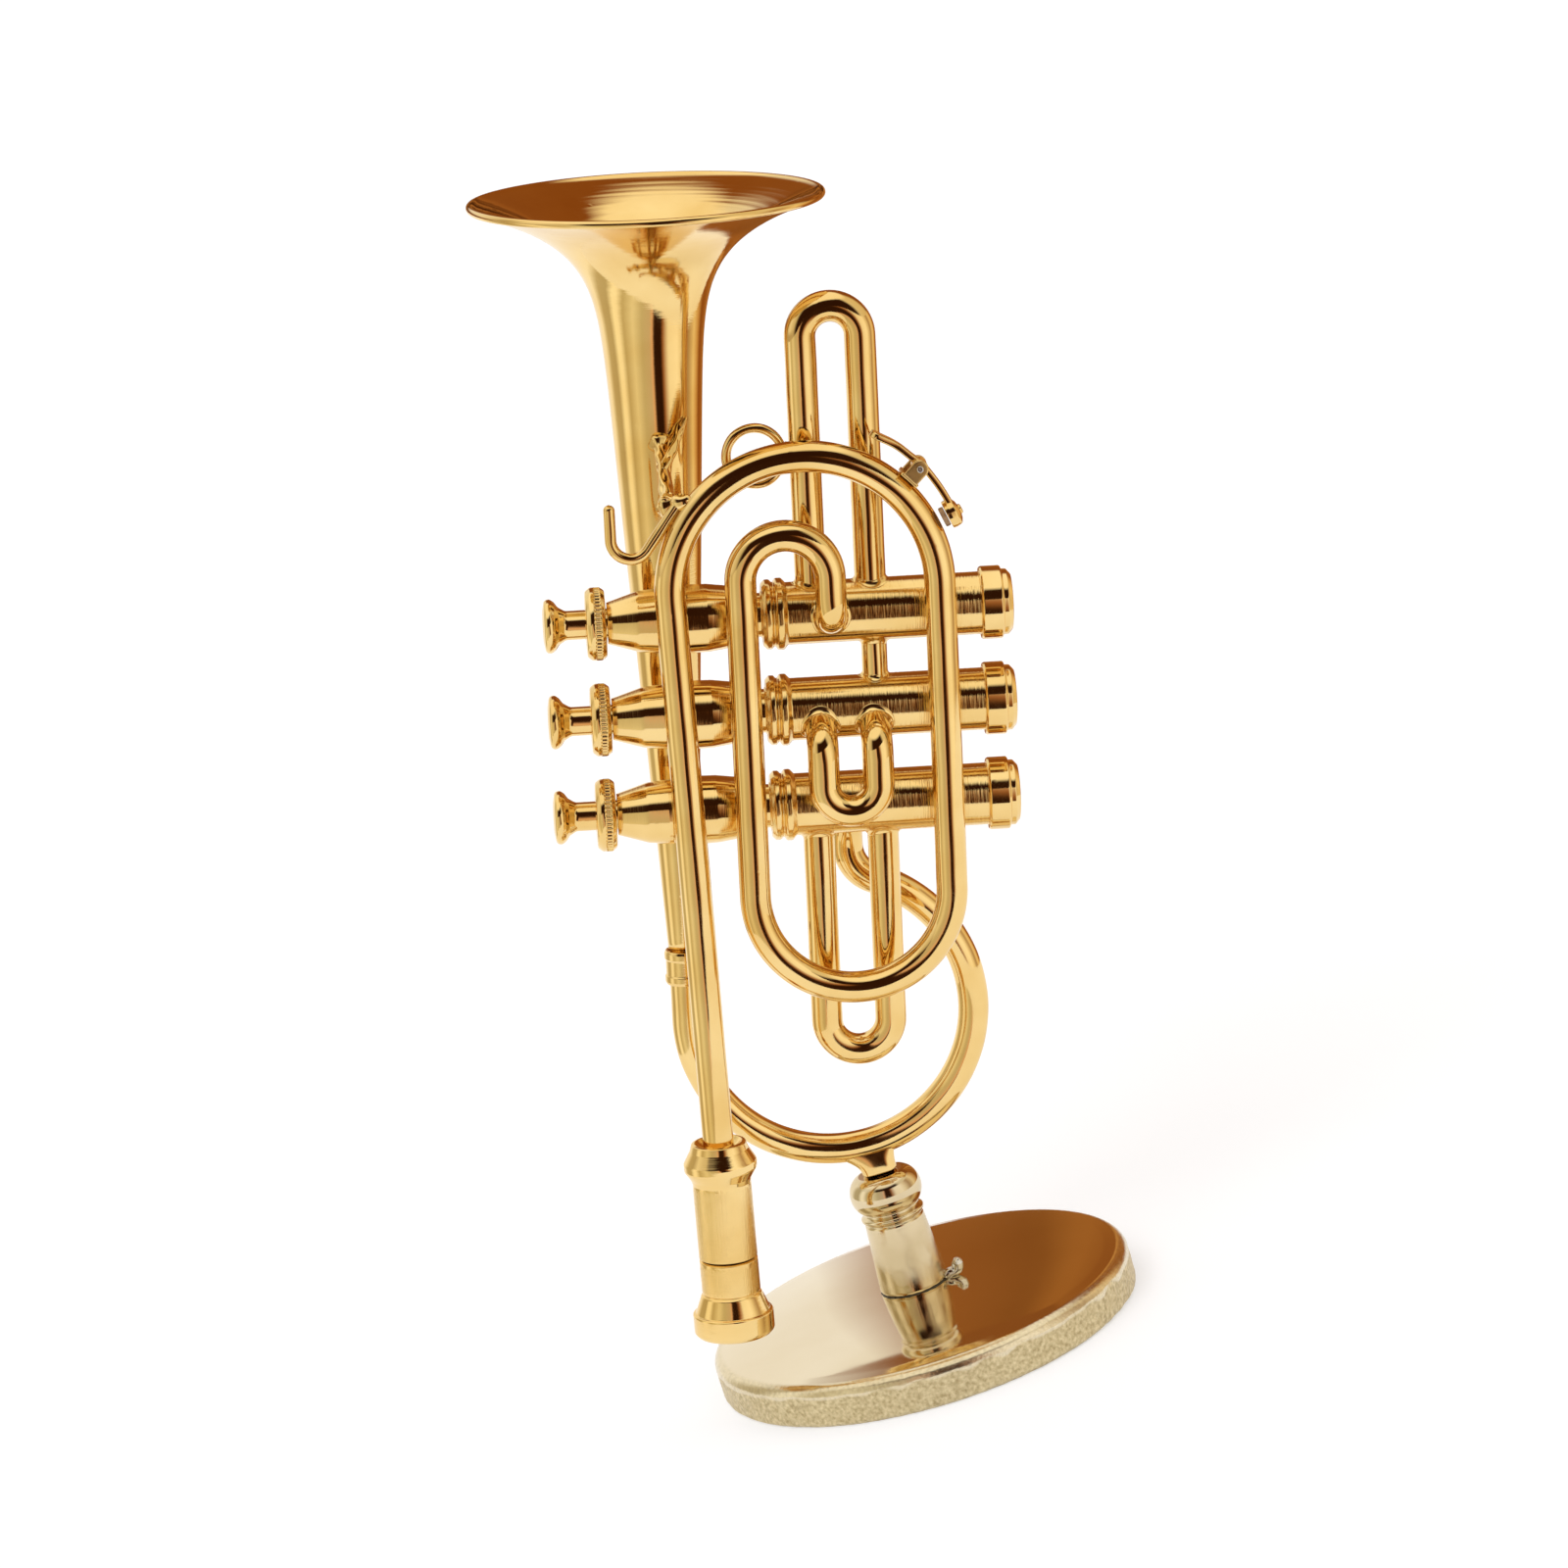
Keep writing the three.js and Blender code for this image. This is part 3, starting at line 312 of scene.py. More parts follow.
def skin(name, points, loop=False, marks=None):
    """A mesh over a grid of points in millimetres, rows along the piece and columns round it.

    Columns meet themselves. Rows do too in a loop; otherwise a fan to its middle closes each
    end. The UV map holds the way along and the way round, in millimetres, and `marks` are
    named values for each point. Faces are turned to point out, by the sign of the volume
    that the mesh encloses.
    """
    rows, columns = points.shape[:2]
    i = np.arange(rows if loop else rows - 1)[:, None]
    j = np.arange(columns)[None]
    below, above_row = i * columns, (i + 1) % rows * columns
    quads = np.stack(np.broadcast_arrays(below + j, below + (j + 1) % columns,
                                         above_row + (j + 1) % columns, above_row + j), -1)
    quads = quads.reshape(-1, 4)
    step = np.linalg.norm(np.diff(points, axis=0), axis=2).mean(1)
    along = np.concatenate([[0], np.cumsum(step), [step.sum() + 1]])
    girth = np.linalg.norm(points - np.roll(points, 1, axis=1), axis=2).sum(1).mean()
    u = np.stack(np.broadcast_arrays(along[i], along[i], along[i + 1], along[i + 1]), -1)
    v = np.stack([j, j + 1, j + 1, j], -1) * girth / columns
    uv = np.stack(np.broadcast_arrays(u, v), -1).reshape(-1, 2)
    vertices = points.reshape(-1, 3)
    faces = quads.tolist()
    if not loop:
        ring = np.arange(columns)
        last = (rows - 1) * columns
        middles = [rows * columns, rows * columns + 1]
        low = np.stack([ring * 0 + middles[0], (ring + 1) % columns, ring], 1)
        top = np.stack([ring * 0 + middles[1], last + ring, last + (ring + 1) % columns], 1)
        vertices = np.concatenate([vertices, [points[0].mean(0)], [points[-1].mean(0)]])
        faces += low.tolist() + top.tolist()
        fan = np.stack([ring * 0 + 0.5, ring + 1, ring], 1) * girth / columns
        for end, order in ((0, fan), (along[-2], fan[:, [0, 2, 1]])):
            uv = np.concatenate([uv, np.stack([0 * order + end, order], -1).reshape(-1, 2)])
    shares = [quads[:, [0, 1, 2]], quads[:, [0, 2, 3]]]
    triangles = np.concatenate(shares if loop else [*shares, low, top])
    a, b, c = (vertices[triangles[:, k]] - vertices.mean(0) for k in range(3))
    volume = (np.cross(a, b) * c).sum()
    mesh = bpy.data.meshes.new(name)
    mesh.from_pydata((vertices * MM).tolist(), [], faces)
    layer = mesh.uv_layers.new(name="surface")
    layer.data.foreach_set("uv", uv.ravel().astype(np.float32))
    for mark, values in (marks or {}).items():
        flat = np.asarray(values, float).reshape(-1)
        flat = np.concatenate([flat, [flat[0], flat[-1]]]) if not loop else flat
        mesh.attributes.new(mark, "FLOAT", "POINT").data.foreach_set("value", flat)
    if volume < 0:
        mesh.flip_normals()
    mesh.shade_smooth()
    mesh.update()
    return mesh


def piece(name, mesh, material, body, slot, *replaced):
    """An object for a finished mesh, with its material and body, that hides the nodes it stands
    for. `slot` is not used.
    """
    made = put(name + "_surface", mesh)
    mesh.materials.append(material)
    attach(made, body)
    if replaced:
        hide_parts(*replaced)


def ripple(seed, count, around_from, around_to, along_most):
    """A smooth random relief between about -1 and 1 that meets itself round a piece: a sum of
    sines of (whole number x angle + frequency x height + phase)."""
    rng = np.random.default_rng(seed)
    whole = rng.integers(around_from, around_to + 1, count)
    along = rng.uniform(-along_most, along_most, count)
    phase = rng.uniform(0, 2 * np.pi, count)

    def relief(angle, height):
        total = 0 * angle
        for n, w, p in zip(whole, along, phase):
            total = total + np.sin(n * angle + w * height + p)
        return total / math.sqrt(count)

    return relief


def step_up(value, start, end):
    """Smoothly from 0 at `start` to 1 at `end`: 3 t squared - 2 t cubed."""
    t = np.clip((value - start) / (end - start), 0, 1)
    return t * t * (3 - 2 * t)


def within(value, low, high, soft):
    """1 between `low` and `high`, and 0 outside, with an edge `soft` wide inside each."""
    return step_up(value, low, low + soft) * step_up(-value, -high, -high + soft)


X, Y, Z = np.eye(3)
ORIGIN = np.zeros(3)
BASE_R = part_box("base_disc")[1].x / MM
BASE_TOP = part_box("base_disc")[1].z / MM
BASE_CROWN = 1.3
BASE_LIP = 1.25
BASE_HOLE_R = 1.92
BASE_HOLE_FLOOR = 2.3
SHEAR_TOP = 3.15


def dome(r):
    """Height of the polished top: the middle's height less the crown times (r / R) cubed."""
    return BASE_TOP - BASE_CROWN * (r / (BASE_R - 0.8)) ** 3


crown = [(r, dome(r), 0) for r in np.linspace(BASE_R - 2.2, BASE_HOLE_R, 60)]
base_outline = rounded(
    [(0.6, 0, 0), (BASE_R - 0.5, 0, 0.2), (BASE_R - 0.08, 0.35, 0.2),
     (BASE_R - 0.02, dome(BASE_R), BASE_LIP), *crown,
     (BASE_HOLE_R, BASE_HOLE_FLOOR, 0), (0.6, BASE_HOLE_FLOOR, 0)], 0.22)
grain = ripple(3, 40, 40, 150, 9)
tears = ripple(4, 14, 9, 40, 1.5)


def side_mask(angle, r, h):
    """1 on the sheared part of the side, 0 on the polish, with a ragged edge between."""
    edge = SHEAR_TOP + 0.16 * tears(angle, 0 * h)
    return step_up(-h, -edge - 0.12, -edge + 0.12) * step_up(r, BASE_R - 0.7, BASE_R - 0.4)


def lip_mask(r, h):
    """Nearly half on the rounded lip, which is duller than the top."""
    return 0.42 * step_up(r, BASE_R - 1.3, BASE_R - 0.7) * step_up(h, SHEAR_TOP - 0.5, SHEAR_TOP)


def sheared(angle, r, h):
    """The side's relief: fine grain, and coarser tears towards the underside."""
    deep = 0.03 + 0.06 * step_up(-h, -1.0, 0)
    return -side_mask(angle, r, h) * (0.025 + 0.014 * grain(angle, h)
                                      + deep * np.abs(tears(angle, h)))


def uneven(add, scale, low, high, detail=3.0, where=None, stretch=None):
    """Noise at `scale` per metre, mapped to low..high: a number that varies over a surface."""
    place = where or add("TexCoord").outputs["Object"]
    if stretch:
        place = add("Mapping", {"Vector": place, "Scale": stretch}).outputs["Vector"]
    noise = add("TexNoise", {"Vector": place, "Scale": scale, "Detail": detail})
    return mapped(add, noise.outputs["Fac"], 0.3, 0.7, low, high)


def metal(add, colour, roughness, height, strength, depth=0.00003, metallic=1.0):
    """The shader of a metal or a film, with the relief `height` in its bump, and the output."""
    bump = add("Bump", {"Height": height, "Strength": strength, "Distance": depth})
    shader = add("BsdfPrincipled", {"Base Color": colour, "Metallic": metallic,
                                    "Roughness": roughness, "Normal": bump.outputs["Normal"]})
    add("OutputMaterial", {"Surface": shader.outputs["BSDF"]})


def polished(name, deep, pale, rough, rings=0.0, streaks=0.0, satin=None, dents=0.05):
    """Polished or plated metal. The colour drifts between `deep` and `pale`, and the roughness
    between the two values of `rough`. `rings` are tool marks round a turned piece, `streaks`
    the lines of drawing along it, and `satin` names a mark where the metal is matt. Pits and
    a low waviness are in the bump."""
    material, add = blank(name)
    map_uv = add("UVMap", uv_map="surface").outputs["UV"]
    colour = ramp(add, uneven(add, 140, 0, 1), [(0, deep), (1, pale)])
    roughness = uneven(add, 420, rough[0], rough[1], 5.0)
    height = uneven(add, 260, 0, dents, 2.0)
    pits = add("TexVoronoi", {"Vector": add("TexCoord").outputs["Object"], "Scale": 420.0})
    height = maths(add, "ADD", height, mapped(add, pits.outputs["Distance"], 0.04, 0.13, -0.35, 0))
    for amount, stretch in ((rings, (9.0, 0.12, 1)), (streaks, (0.10, 9.0, 1))):
        if amount:
            lines = uneven(add, 1.0, 0, amount, 4.0, map_uv, stretch)
            height = maths(add, "ADD", height, lines)
    if satin:
        mask = add("Attribute", attribute_name=satin).outputs["Fac"]
        matt = uneven(add, 900, 0.16, 0.26, 4.0)
        roughness = mapped(add, mask, 0, 1, roughness, matt)
        lines = uneven(add, 1.6, 0, 1.0, 5.0, map_uv, (0.10, 6.0, 1))
        height = maths(add, "ADD", height, maths(add, "MULTIPLY", lines, mask))
    metal(add, colour, roughness, height, 0.5)
    return material


def plate_metal():
    """The base's metal: pale polish on top, granular khaki where the mark `sheared` is 1."""
    material, add = blank("base_plate")
    mask = add("Attribute", attribute_name="sheared").outputs["Fac"]
    top = ramp(add, uneven(add, 60, 0, 1), [(0, (0.76, 0.66, 0.47)), (1, (0.83, 0.75, 0.58))])
    raw = ramp(add, uneven(add, 2600, 0, 1, 6.0), [
        (0, (0.42, 0.33, 0.17)), (0.4, (0.57, 0.47, 0.27)), (1, (0.74, 0.63, 0.39))])
    finish = mapped(add, mask, 0, 1, uneven(add, 300, 0.045, 0.085, 4.0),
                    uneven(add, 1800, 0.34, 0.52, 5.0))
    relief = maths(add, "MULTIPLY", uneven(add, 2400, 0, 1, 6.0), mask)
    metal(add, between(add, mask, top, raw), finish, relief, 0.8)
    return material


BASE_SIDES = 360
base_angle, base_r, base_h = round_it(base_outline, BASE_SIDES)
base_points = spun(base_outline, BASE_SIDES, ORIGIN, Z, X, sheared)
base_mesh = skin("base", base_points, marks={"sheared": np.maximum(
    side_mask(base_angle, base_r, base_h), lip_mask(base_r, base_h))})
piece("base", base_mesh, plate_metal(), "stand", "base", "base_disc")


# ---------------------------------------------------------------- stand post
# A turned post pressed into the disc: a straight column, a fine bead and a round knob with a
# socket in its top. A thin dark line of flux shows under its foot, and a spur of solder beside it.
POST_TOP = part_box("stand_post")[1].z / MM
POST_FOOT = dome(3.4) - 0.02
POST_R = 3.42
KNOB_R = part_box("stand_post")[1].x / MM
SOCKET_R = 1.47
SOCKET_L = 7.2
STUD_R = 1.8
STUD_L = 2.6
knob_turn = np.linspace(-1.15, 1.25, 26)
knob = [(KNOB_R - 1.55 * (1 - math.cos(t)), POST_TOP - 1.95 + 1.95 * math.sin(t), 0)
        for t in knob_turn]
post_outline = rounded(
    [(0.5, POST_FOOT - STUD_L, 0), (STUD_R, POST_FOOT - STUD_L, 0.2), (STUD_R, POST_FOOT, 0),
     (POST_R - 0.12, POST_FOOT, 0.1), (POST_R + 0.03, POST_FOOT + 0.4, 0.3),
     (POST_R - 0.42, POST_FOOT + 7.2, 0.3), (POST_R - 0.58, POST_FOOT + 7.4, 0.1),
     (POST_R - 0.22, POST_FOOT + 7.75, 0.3), (POST_R - 0.22, POST_FOOT + 8.0, 0.3),
     (POST_R - 0.6, POST_FOOT + 8.3, 0.1), *knob,
     (KNOB_R - 1.35, POST_TOP, 0.2), (SOCKET_R, POST_TOP, 0.1),
     (SOCKET_R, POST_TOP - SOCKET_L, 0), (0.5, POST_TOP - SOCKET_L, 0)], 0.12)
post_waver = ripple(11, 12, 2, 7, 1.4)


def turned_column(angle, r, h):
    """The column is a little wavy from hand polishing; the stud and socket are true."""
    return 0.006 * post_waver(angle, h) * step_up(r, 2.0, 2.6)


POST_SIDES = 96
post_angle, _, post_h = round_it(post_outline, POST_SIDES)
mottle = ripple(12, 16, 1, 9, 2.2)
post_satin = (step_up(post_h, POST_FOOT + 0.3, POST_FOOT + 1.0)
              * step_up(-post_h, -POST_FOOT - 7.1, -POST_FOOT - 6.7)
              * step_up(mottle(post_angle, post_h), -1.1, 0.3) * 0.85)
post_mesh = skin("post", spun(post_outline, POST_SIDES, ORIGIN, Z, X, turned_column),
                 marks={"satin": post_satin})
CHAMPAGNE = ((0.60, 0.48, 0.28), (0.78, 0.66, 0.44))
post_metal = polished("post_polish", *CHAMPAGNE, (0.06, 0.13), satin="satin")
piece("post", post_mesh, post_metal, "stand", "post", "stand_post")


def stain(name, dark, light, scale, metallic, rough):
    """A rough film or grain: colour noise at `scale`, with the same noise as its relief."""
    material, add = blank(name)
    level = uneven(add, scale, 0, 1, 5.0)
    metal(add, ramp(add, level, [(0, dark), (1, light)]),
          uneven(add, scale * 1.7, rough - 0.1, rough + 0.1), level, 0.7, 0.00005, metallic)
    return material


def hoop(radius, wire, height, sides, wire_sides, lump, depth):
    """A closed ring of round wire about z: (R + w cos b) round the axis, w sin b up it, the
    wire's radius w swelling by `depth` of itself with `lump` round the ring."""
    a = turns(sides)[:, None]
    b = turns(wire_sides)[None]
    w = wire * (1 + depth * lump(a, 0 * a))
    out = radius + w * np.cos(b)
    return np.stack([out * np.cos(a), out * np.sin(a), height + w * np.sin(b)], -1)


seam_points = hoop(POST_R - 0.06, 0.085, POST_FOOT + 0.03, 180, 10, ripple(13, 9, 3, 25, 0), 0.3)
flux = stain("flux", (0.02, 0.015, 0.01), (0.10, 0.08, 0.05), 3000, 0.3, 0.5)
piece("post_flux_line", skin("post_flux_line", seam_points, loop=True), flux, "stand", "post")


class Route:
    """A centre line of straight runs and round bends, in millimetres.

    It carries a heading and a side square to it. A bend turns the point's arm, the heading
    and the side together about an axis k by angle a: v cos a + (k x v) sin a
    + k (k . v) (1 - cos a).
    """

    def __init__(self, point, heading, side, step=0.3):
        self.step = step
        self.points = [np.array([point], float)]
        self.headings = [np.array([heading], float) / np.linalg.norm(heading)]
        self.sides = [np.array([side], float)]

    def go(self, length):
        count = max(1, int(length / self.step))
        way = np.linspace(0, length, count + 1)[1:, None]
        self.points.append(self.points[-1][-1] + way * self.headings[-1][-1])
        self.headings.append(np.repeat(self.headings[-1][-1:], count, 0))
        self.sides.append(np.repeat(self.sides[-1][-1:], count, 0))
        return self

    def bend(self, axis, radius, angle):
        count = max(4, int(radius * angle / self.step))
        a = np.linspace(0, angle, count + 1)[1:, None]
        heading = self.headings[-1][-1]
        centre = self.points[-1][-1] + np.cross(axis, heading) * radius

        def swing(v):
            return (v * np.cos(a) + np.cross(axis, v) * np.sin(a)
                    + axis * (axis @ v) * (1 - np.cos(a)))

        self.points.append(centre + swing(self.points[-1][-1] - centre))
        self.headings.append(swing(heading))
        self.sides.append(swing(self.sides[-1][-1]))
        return self


def drawn(route, radius, sides, waver=None, depth=0.0):
    """Points of a round tube or wire along a route: the centre line plus r (cos a side + sin a
    (heading x side)). `radius` is a number or a function of the way along, 0 to 1."""
    points, headings, side = (np.concatenate(part) for part in
                              (route.points, route.headings, route.sides))
    gaps = np.linalg.norm(np.diff(points, axis=0), axis=1)
    way = np.concatenate([[0], np.cumsum(gaps)])
    r = radius(way / way[-1]) if callable(radius) else radius + 0 * way
    angle = turns(sides)[None]
    r = r[:, None] + (depth * waver(angle, way[:, None]) if waver else 0 * angle)
    other = np.cross(headings, side)
    return (points[:, None] + (r * np.cos(angle))[..., None] * side[:, None]
            + (r * np.sin(angle))[..., None] * other[:, None])


def dome_ends(radius, length, total):
    """A wire's radius that rounds off over `length` at both ends, as a quarter circle."""
    def profile(t):
        out = np.minimum(np.minimum(t, 1 - t) * total / length, 1)
        return radius * np.sqrt(np.clip(1 - (1 - out) ** 2, 0.02, 1))
    return profile


spur = Route((3.1, -1.1, POST_FOOT - 0.1), (0.45, -0.15, 0.85), (0, 1, 0), 0.06)
spur.bend(Y, 1.1, 1.0).bend(-Y, 0.75, 2.2)
spur_lump = ripple(14, 10, 1, 5, 4)
spur_points = drawn(spur, dome_ends(0.52, 0.6, 2.7), 28, spur_lump, 0.08)
solder = polished("soft_solder", (0.50, 0.46, 0.38), (0.70, 0.66, 0.56), (0.10, 0.22), dents=0.6)
piece("solder_spur", skin("solder_spur", spur_points), solder, "stand", "post")


# ---------------------------------------------------------------- peg under the bow
# A pin that turns in the post's socket, with a block of solder on top that holds the bow. The
# block is squarish, and its top runs out along the bow, further on the bell's side.
BOW_R = 14.1
TUBE_R = 1.5
PEG_R = 1.33
BOW_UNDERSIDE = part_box("bell_bow")[0].z / MM


def squarish(wave, corner=0.35):
    """A sine or cosine raised to a small power, with its sign kept: it rounds a square."""
    return np.sign(wave) * np.abs(wave) ** corner


peg_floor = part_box("stand_peg")[0].z / MM + 0.1
peg_h = np.concatenate([np.linspace(peg_floor, POST_TOP + 0.1, 24),
                        np.linspace(POST_TOP + 0.12, BOW_UNDERSIDE + 0.95, 46)])[:, None]
peg_angle = turns(96)[None]
block = step_up(peg_h, POST_TOP + 0.08, POST_TOP + 0.3)
climb = np.clip((peg_h - POST_TOP - 0.3) / (BOW_UNDERSIDE + 0.6 - POST_TOP - 0.3), 0, 1.1)
bell_side = step_up(-np.cos(peg_angle), -0.2, 0.6)
wide = PEG_R + block * (0.42 + (0.5 + 1.5 * bell_side) * climb ** 2.4)
deep = PEG_R + block * (0.27 - 0.32 * climb ** 2)
corner = 1 - 0.42 * block
peg_lump = ripple(15, 14, 1, 6, 1.6)
lump = 1 + 0.02 * block * peg_lump(peg_angle, peg_h)
peg_x = wide * lump * squarish(np.cos(peg_angle), corner)
peg_y = deep * lump * squarish(np.sin(peg_angle), corner)
bow_outer = BOW_R + TUBE_R
bow_rise = bow_outer - np.sqrt(bow_outer ** 2 - np.clip(peg_x, -6, 6) ** 2)
peg_points = np.stack([peg_x, peg_y, peg_h + climb ** 2 * bow_rise], -1)
GOLD = ((0.80, 0.54, 0.19), (0.89, 0.66, 0.29))
peg_metal = polished("solder_gilt", *GOLD, (0.08, 0.18), dents=0.7)
piece("peg", skin("peg", peg_points), peg_metal, "cornet", "turned_brass", "stand_peg")


# ---------------------------------------------------------------- bell
# Spun from thin brass sheet and plated gold: a long taper, a wide flare and a rolled lip. The
# cornet's own x runs along its valves to their bottom caps, z along the bell to its mouth.
valve_press = next(j for j in frame["joints"] if j["name"] == "valve_1_press")
ACROSS = np.array(valve_press["axis"], float)
ACROSS /= np.linalg.norm(ACROSS)
UPRIGHT = np.cross(ACROSS, Y)
CORNET = np.stack([ACROSS, Y, UPRIGHT], 1)
cornet_origin = ORIGIN


def extent(node):
    """Lowest and highest corner of a node along the cornet's own axes, from its origin."""
    mesh = frame["nodes"][node].data
    place = np.empty(len(mesh.vertices) * 3)
    mesh.vertices.foreach_get("co", place)
    own = (place.reshape(-1, 3) / MM - cornet_origin) @ CORNET
    return own.min(0), own.max(0)


# The origin is on the middle valve's axis, under the middle of the coil's small crook.
CASING_END_X = 17.1
piston_middle = sum(extent("valve_2_piston")) / 2
cornet_origin = CORNET @ np.array([extent("valve_2_casing")[1][0] - CASING_END_X,
                                   *piston_middle[1:]])


def stood(points):
    """Points given along the cornet's own axes, turned to how it stands on its post."""
    return cornet_origin + np.asarray(points) @ CORNET.T


def placed(route):
    """A route worked out along the cornet's own axes, turned to how it stands."""
    route.points = [stood(part) for part in route.points]
    route.headings = [part @ CORNET.T for part in route.headings]
    route.sides = [part @ CORNET.T for part in route.sides]
    return route


bell_low, bell_high = extent("bell")
BELL_X, BELL_Y = (bell_low + bell_high)[:2] / 2
BELL_TAIL = bell_low[2]
BELL_L = bell_high[2] - bell_low[2]
BELL_RIM_R = (bell_high - bell_low)[0] / 2
BELL_THROAT_R = 5.5
BELL_FLARE_L = 3.7
BELL_FLARE_END = 14
BELL_WALL = 0.5
LIP_R = 0.5
BELL_MOUTH_L = 16
BELL_SIDES = 144
TAIL_WAY = 56
TAIL_STEP = 0.9
MOUTH_STEP = 0.13


def bell_radius(d):
    """Outside radius at d from the mouth: a taper down to the tube, plus a flare that fades as
    exp(-d / L - (d / end) squared)."""
    taper = TUBE_R + (BELL_THROAT_R - TUBE_R) * (1 - d / BELL_L)
    return taper + (BELL_RIM_R - BELL_THROAT_R) * np.exp(-d / BELL_FLARE_L
                                                         - (d / BELL_FLARE_END) ** 2)


def bell_wall():
    """The closed outline of the wall, tail to mouth outside and back inside. The middle line is
    half a wall in from the outside, and both faces stand off it by half the wall, which
    swells near the mouth into the lip and ends in a half circle."""
    d = np.concatenate([BELL_L - np.arange(0, BELL_L - BELL_MOUTH_L, 0.8),
                        np.linspace(BELL_MOUTH_L, 0, 900)[1:]])
    way = np.concatenate([[0], np.cumsum(np.hypot(np.diff(d), np.diff(bell_radius(d))))])
    fine = np.concatenate([np.arange(0, TAIL_WAY, TAIL_STEP),
                           np.arange(TAIL_WAY, way[-1], MOUTH_STEP)])
    d = np.interp(fine, way, d)
    line = np.stack([bell_radius(d), BELL_L - d], 1)
    slope = np.gradient(line, fine, axis=0)
    out = np.stack([slope[:, 1], -slope[:, 0]], 1)
    out /= np.linalg.norm(out, axis=1)[:, None]
    line -= out * BELL_WALL / 2
    reach = fine[-1] - fine
    half = BELL_WALL / 2 + (LIP_R - BELL_WALL / 2) * np.exp(-(reach / 0.7) ** 2)
    keep = reach > LIP_R
    line, out, half, along = line[keep], out[keep], half[keep], slope[keep][-1]
    turn = np.linspace(0, np.pi, 13)[1:-1, None]
    lip = line[-1] + half[-1] * (np.cos(turn) * out[-1] + np.sin(turn) * along)
    return np.concatenate([line + half[:, None] * out, lip, (line - half[:, None] * out)[::-1]])


bell_outline = bell_wall()
spinning = ripple(21, 22, 0, 5, 9)
hand_work = ripple(22, 16, 1, 6, 0.35)


def spun_marks(angle, r, h):
    """Fine rings left by the spinning tool, strongest inside the flare, where even rings that
    drift off the middle join them, over a slow unevenness: random and even sines of r and h."""
    flare = step_up(h, BELL_L - 18, BELL_L - 6)
    inside = step_up(bell_radius(BELL_L - h) - r, 0.15, 0.35) * step_up(r, 6, 9)
    return ((0.0006 + 0.0022 * flare + 0.009 * inside) * spinning(angle, h * 0.7 + r * 0.9)
            + 0.005 * inside * np.sin(7.5 * r + 2 * np.cos(angle)) + 0.010 * hand_work(angle, h))


bell_tail = stood((BELL_X, BELL_Y, BELL_TAIL))
bell_points = spun(bell_outline, BELL_SIDES, bell_tail, UPRIGHT, ACROSS, spun_marks)
bell_metal = polished("bell_gilt", *GOLD, (0.035, 0.085), rings=0.12)
piece("bell", skin("bell", bell_points, loop=True), bell_metal, "cornet", "bell", "bell")


# ---------------------------------------------------------------- bow
# Drawn brass tube, bent round a former from the bell's small end, under the valves and up into
# the back of the third valve. A turned sleeve covers its joint with the bell.
valve_z = [sum(extent(f"valve_{number}_casing"))[2] / 2 for number in (1, 2, 3)]
CASING_R = 3.0
PORT_END_R = CASING_R - 0.4
BOW_X = BELL_X + BOW_R
BOW_Z = valve_z[2] - 22.8
BOW_WRAP = math.radians(70)
BOW_ENTRY = math.radians(70)
BOW_PORT_X = 3.2
tube_gilt = polished("tube_gilt", *GOLD, (0.04, 0.10), streaks=0.10)


def tubing(name, node, route, waver, radius=TUBE_R, sides=48):
    """A length of tube along a route, in place of its CAD node. Its radius wavers slightly."""
    mesh = skin(name, drawn(placed(route), radius, sides, waver, 0.006))
    piece(name, mesh, tube_gilt, "cornet", "tubing", node)


def bow_route():
    """Down from the bell, round the bow, back to upright and forward into the valve. The last
    bend's radius is what makes it end square on the valve's axis."""
    wrap_x = BOW_X + BOW_R * math.cos(BOW_WRAP)
    wrap_z = BOW_Z + BOW_R * math.sin(BOW_WRAP)
    back_r = (wrap_x - BOW_PORT_X) / (1 - math.cos(BOW_WRAP))
    up_z = wrap_z + back_r * math.sin(BOW_WRAP)
    entry_r = (valve_z[2] - BELL_Y / math.tan(BOW_ENTRY) - up_z) / math.tan(BOW_ENTRY / 2)
    rest = (BELL_Y - entry_r * (1 - math.cos(BOW_ENTRY))) / math.sin(BOW_ENTRY)
    start = BELL_TAIL - 0.05
    return (Route((BELL_X, BELL_Y, start), -Z, X).go(start - BOW_Z)
            .bend(-Y, BOW_R, math.pi + BOW_WRAP).bend(Y, back_r, BOW_WRAP)
            .bend(X, entry_r, BOW_ENTRY).go(rest - PORT_END_R))


tubing("bow", "bell_bow", bow_route(), ripple(31, 14, 1, 4, 1.6))

SLEEVE_R = 1.95
SLEEVE_L = 3.4
SLEEVE_BORE = TUBE_R + 0.03
sleeve_outline = rounded(
    [(SLEEVE_BORE, -SLEEVE_L, 0), (SLEEVE_R - 0.12, -SLEEVE_L, 0.1),
     (SLEEVE_R, -SLEEVE_L + 0.3, 0.2), (SLEEVE_R, -SLEEVE_L + 0.8, 0.1),
     (SLEEVE_R - 0.12, -SLEEVE_L + 1.0, 0.1), (SLEEVE_R - 0.12, -1.0, 0.1),
     (SLEEVE_R, -0.8, 0.1), (SLEEVE_R, -0.3, 0.2), (SLEEVE_R - 0.12, 0, 0.1),
     (SLEEVE_BORE, 0, 0)], 0.08)
turned_gilt = polished("turned_gilt", *GOLD, (0.045, 0.11), rings=0.25)
sleeve_points = spun(sleeve_outline, 72, bell_tail, UPRIGHT, ACROSS)
sleeve_mesh = skin("bow_sleeve", sleeve_points, loop=True)
piece("bow_sleeve", sleeve_mesh, turned_gilt, "cornet", "tubing", "bow_ferrule")


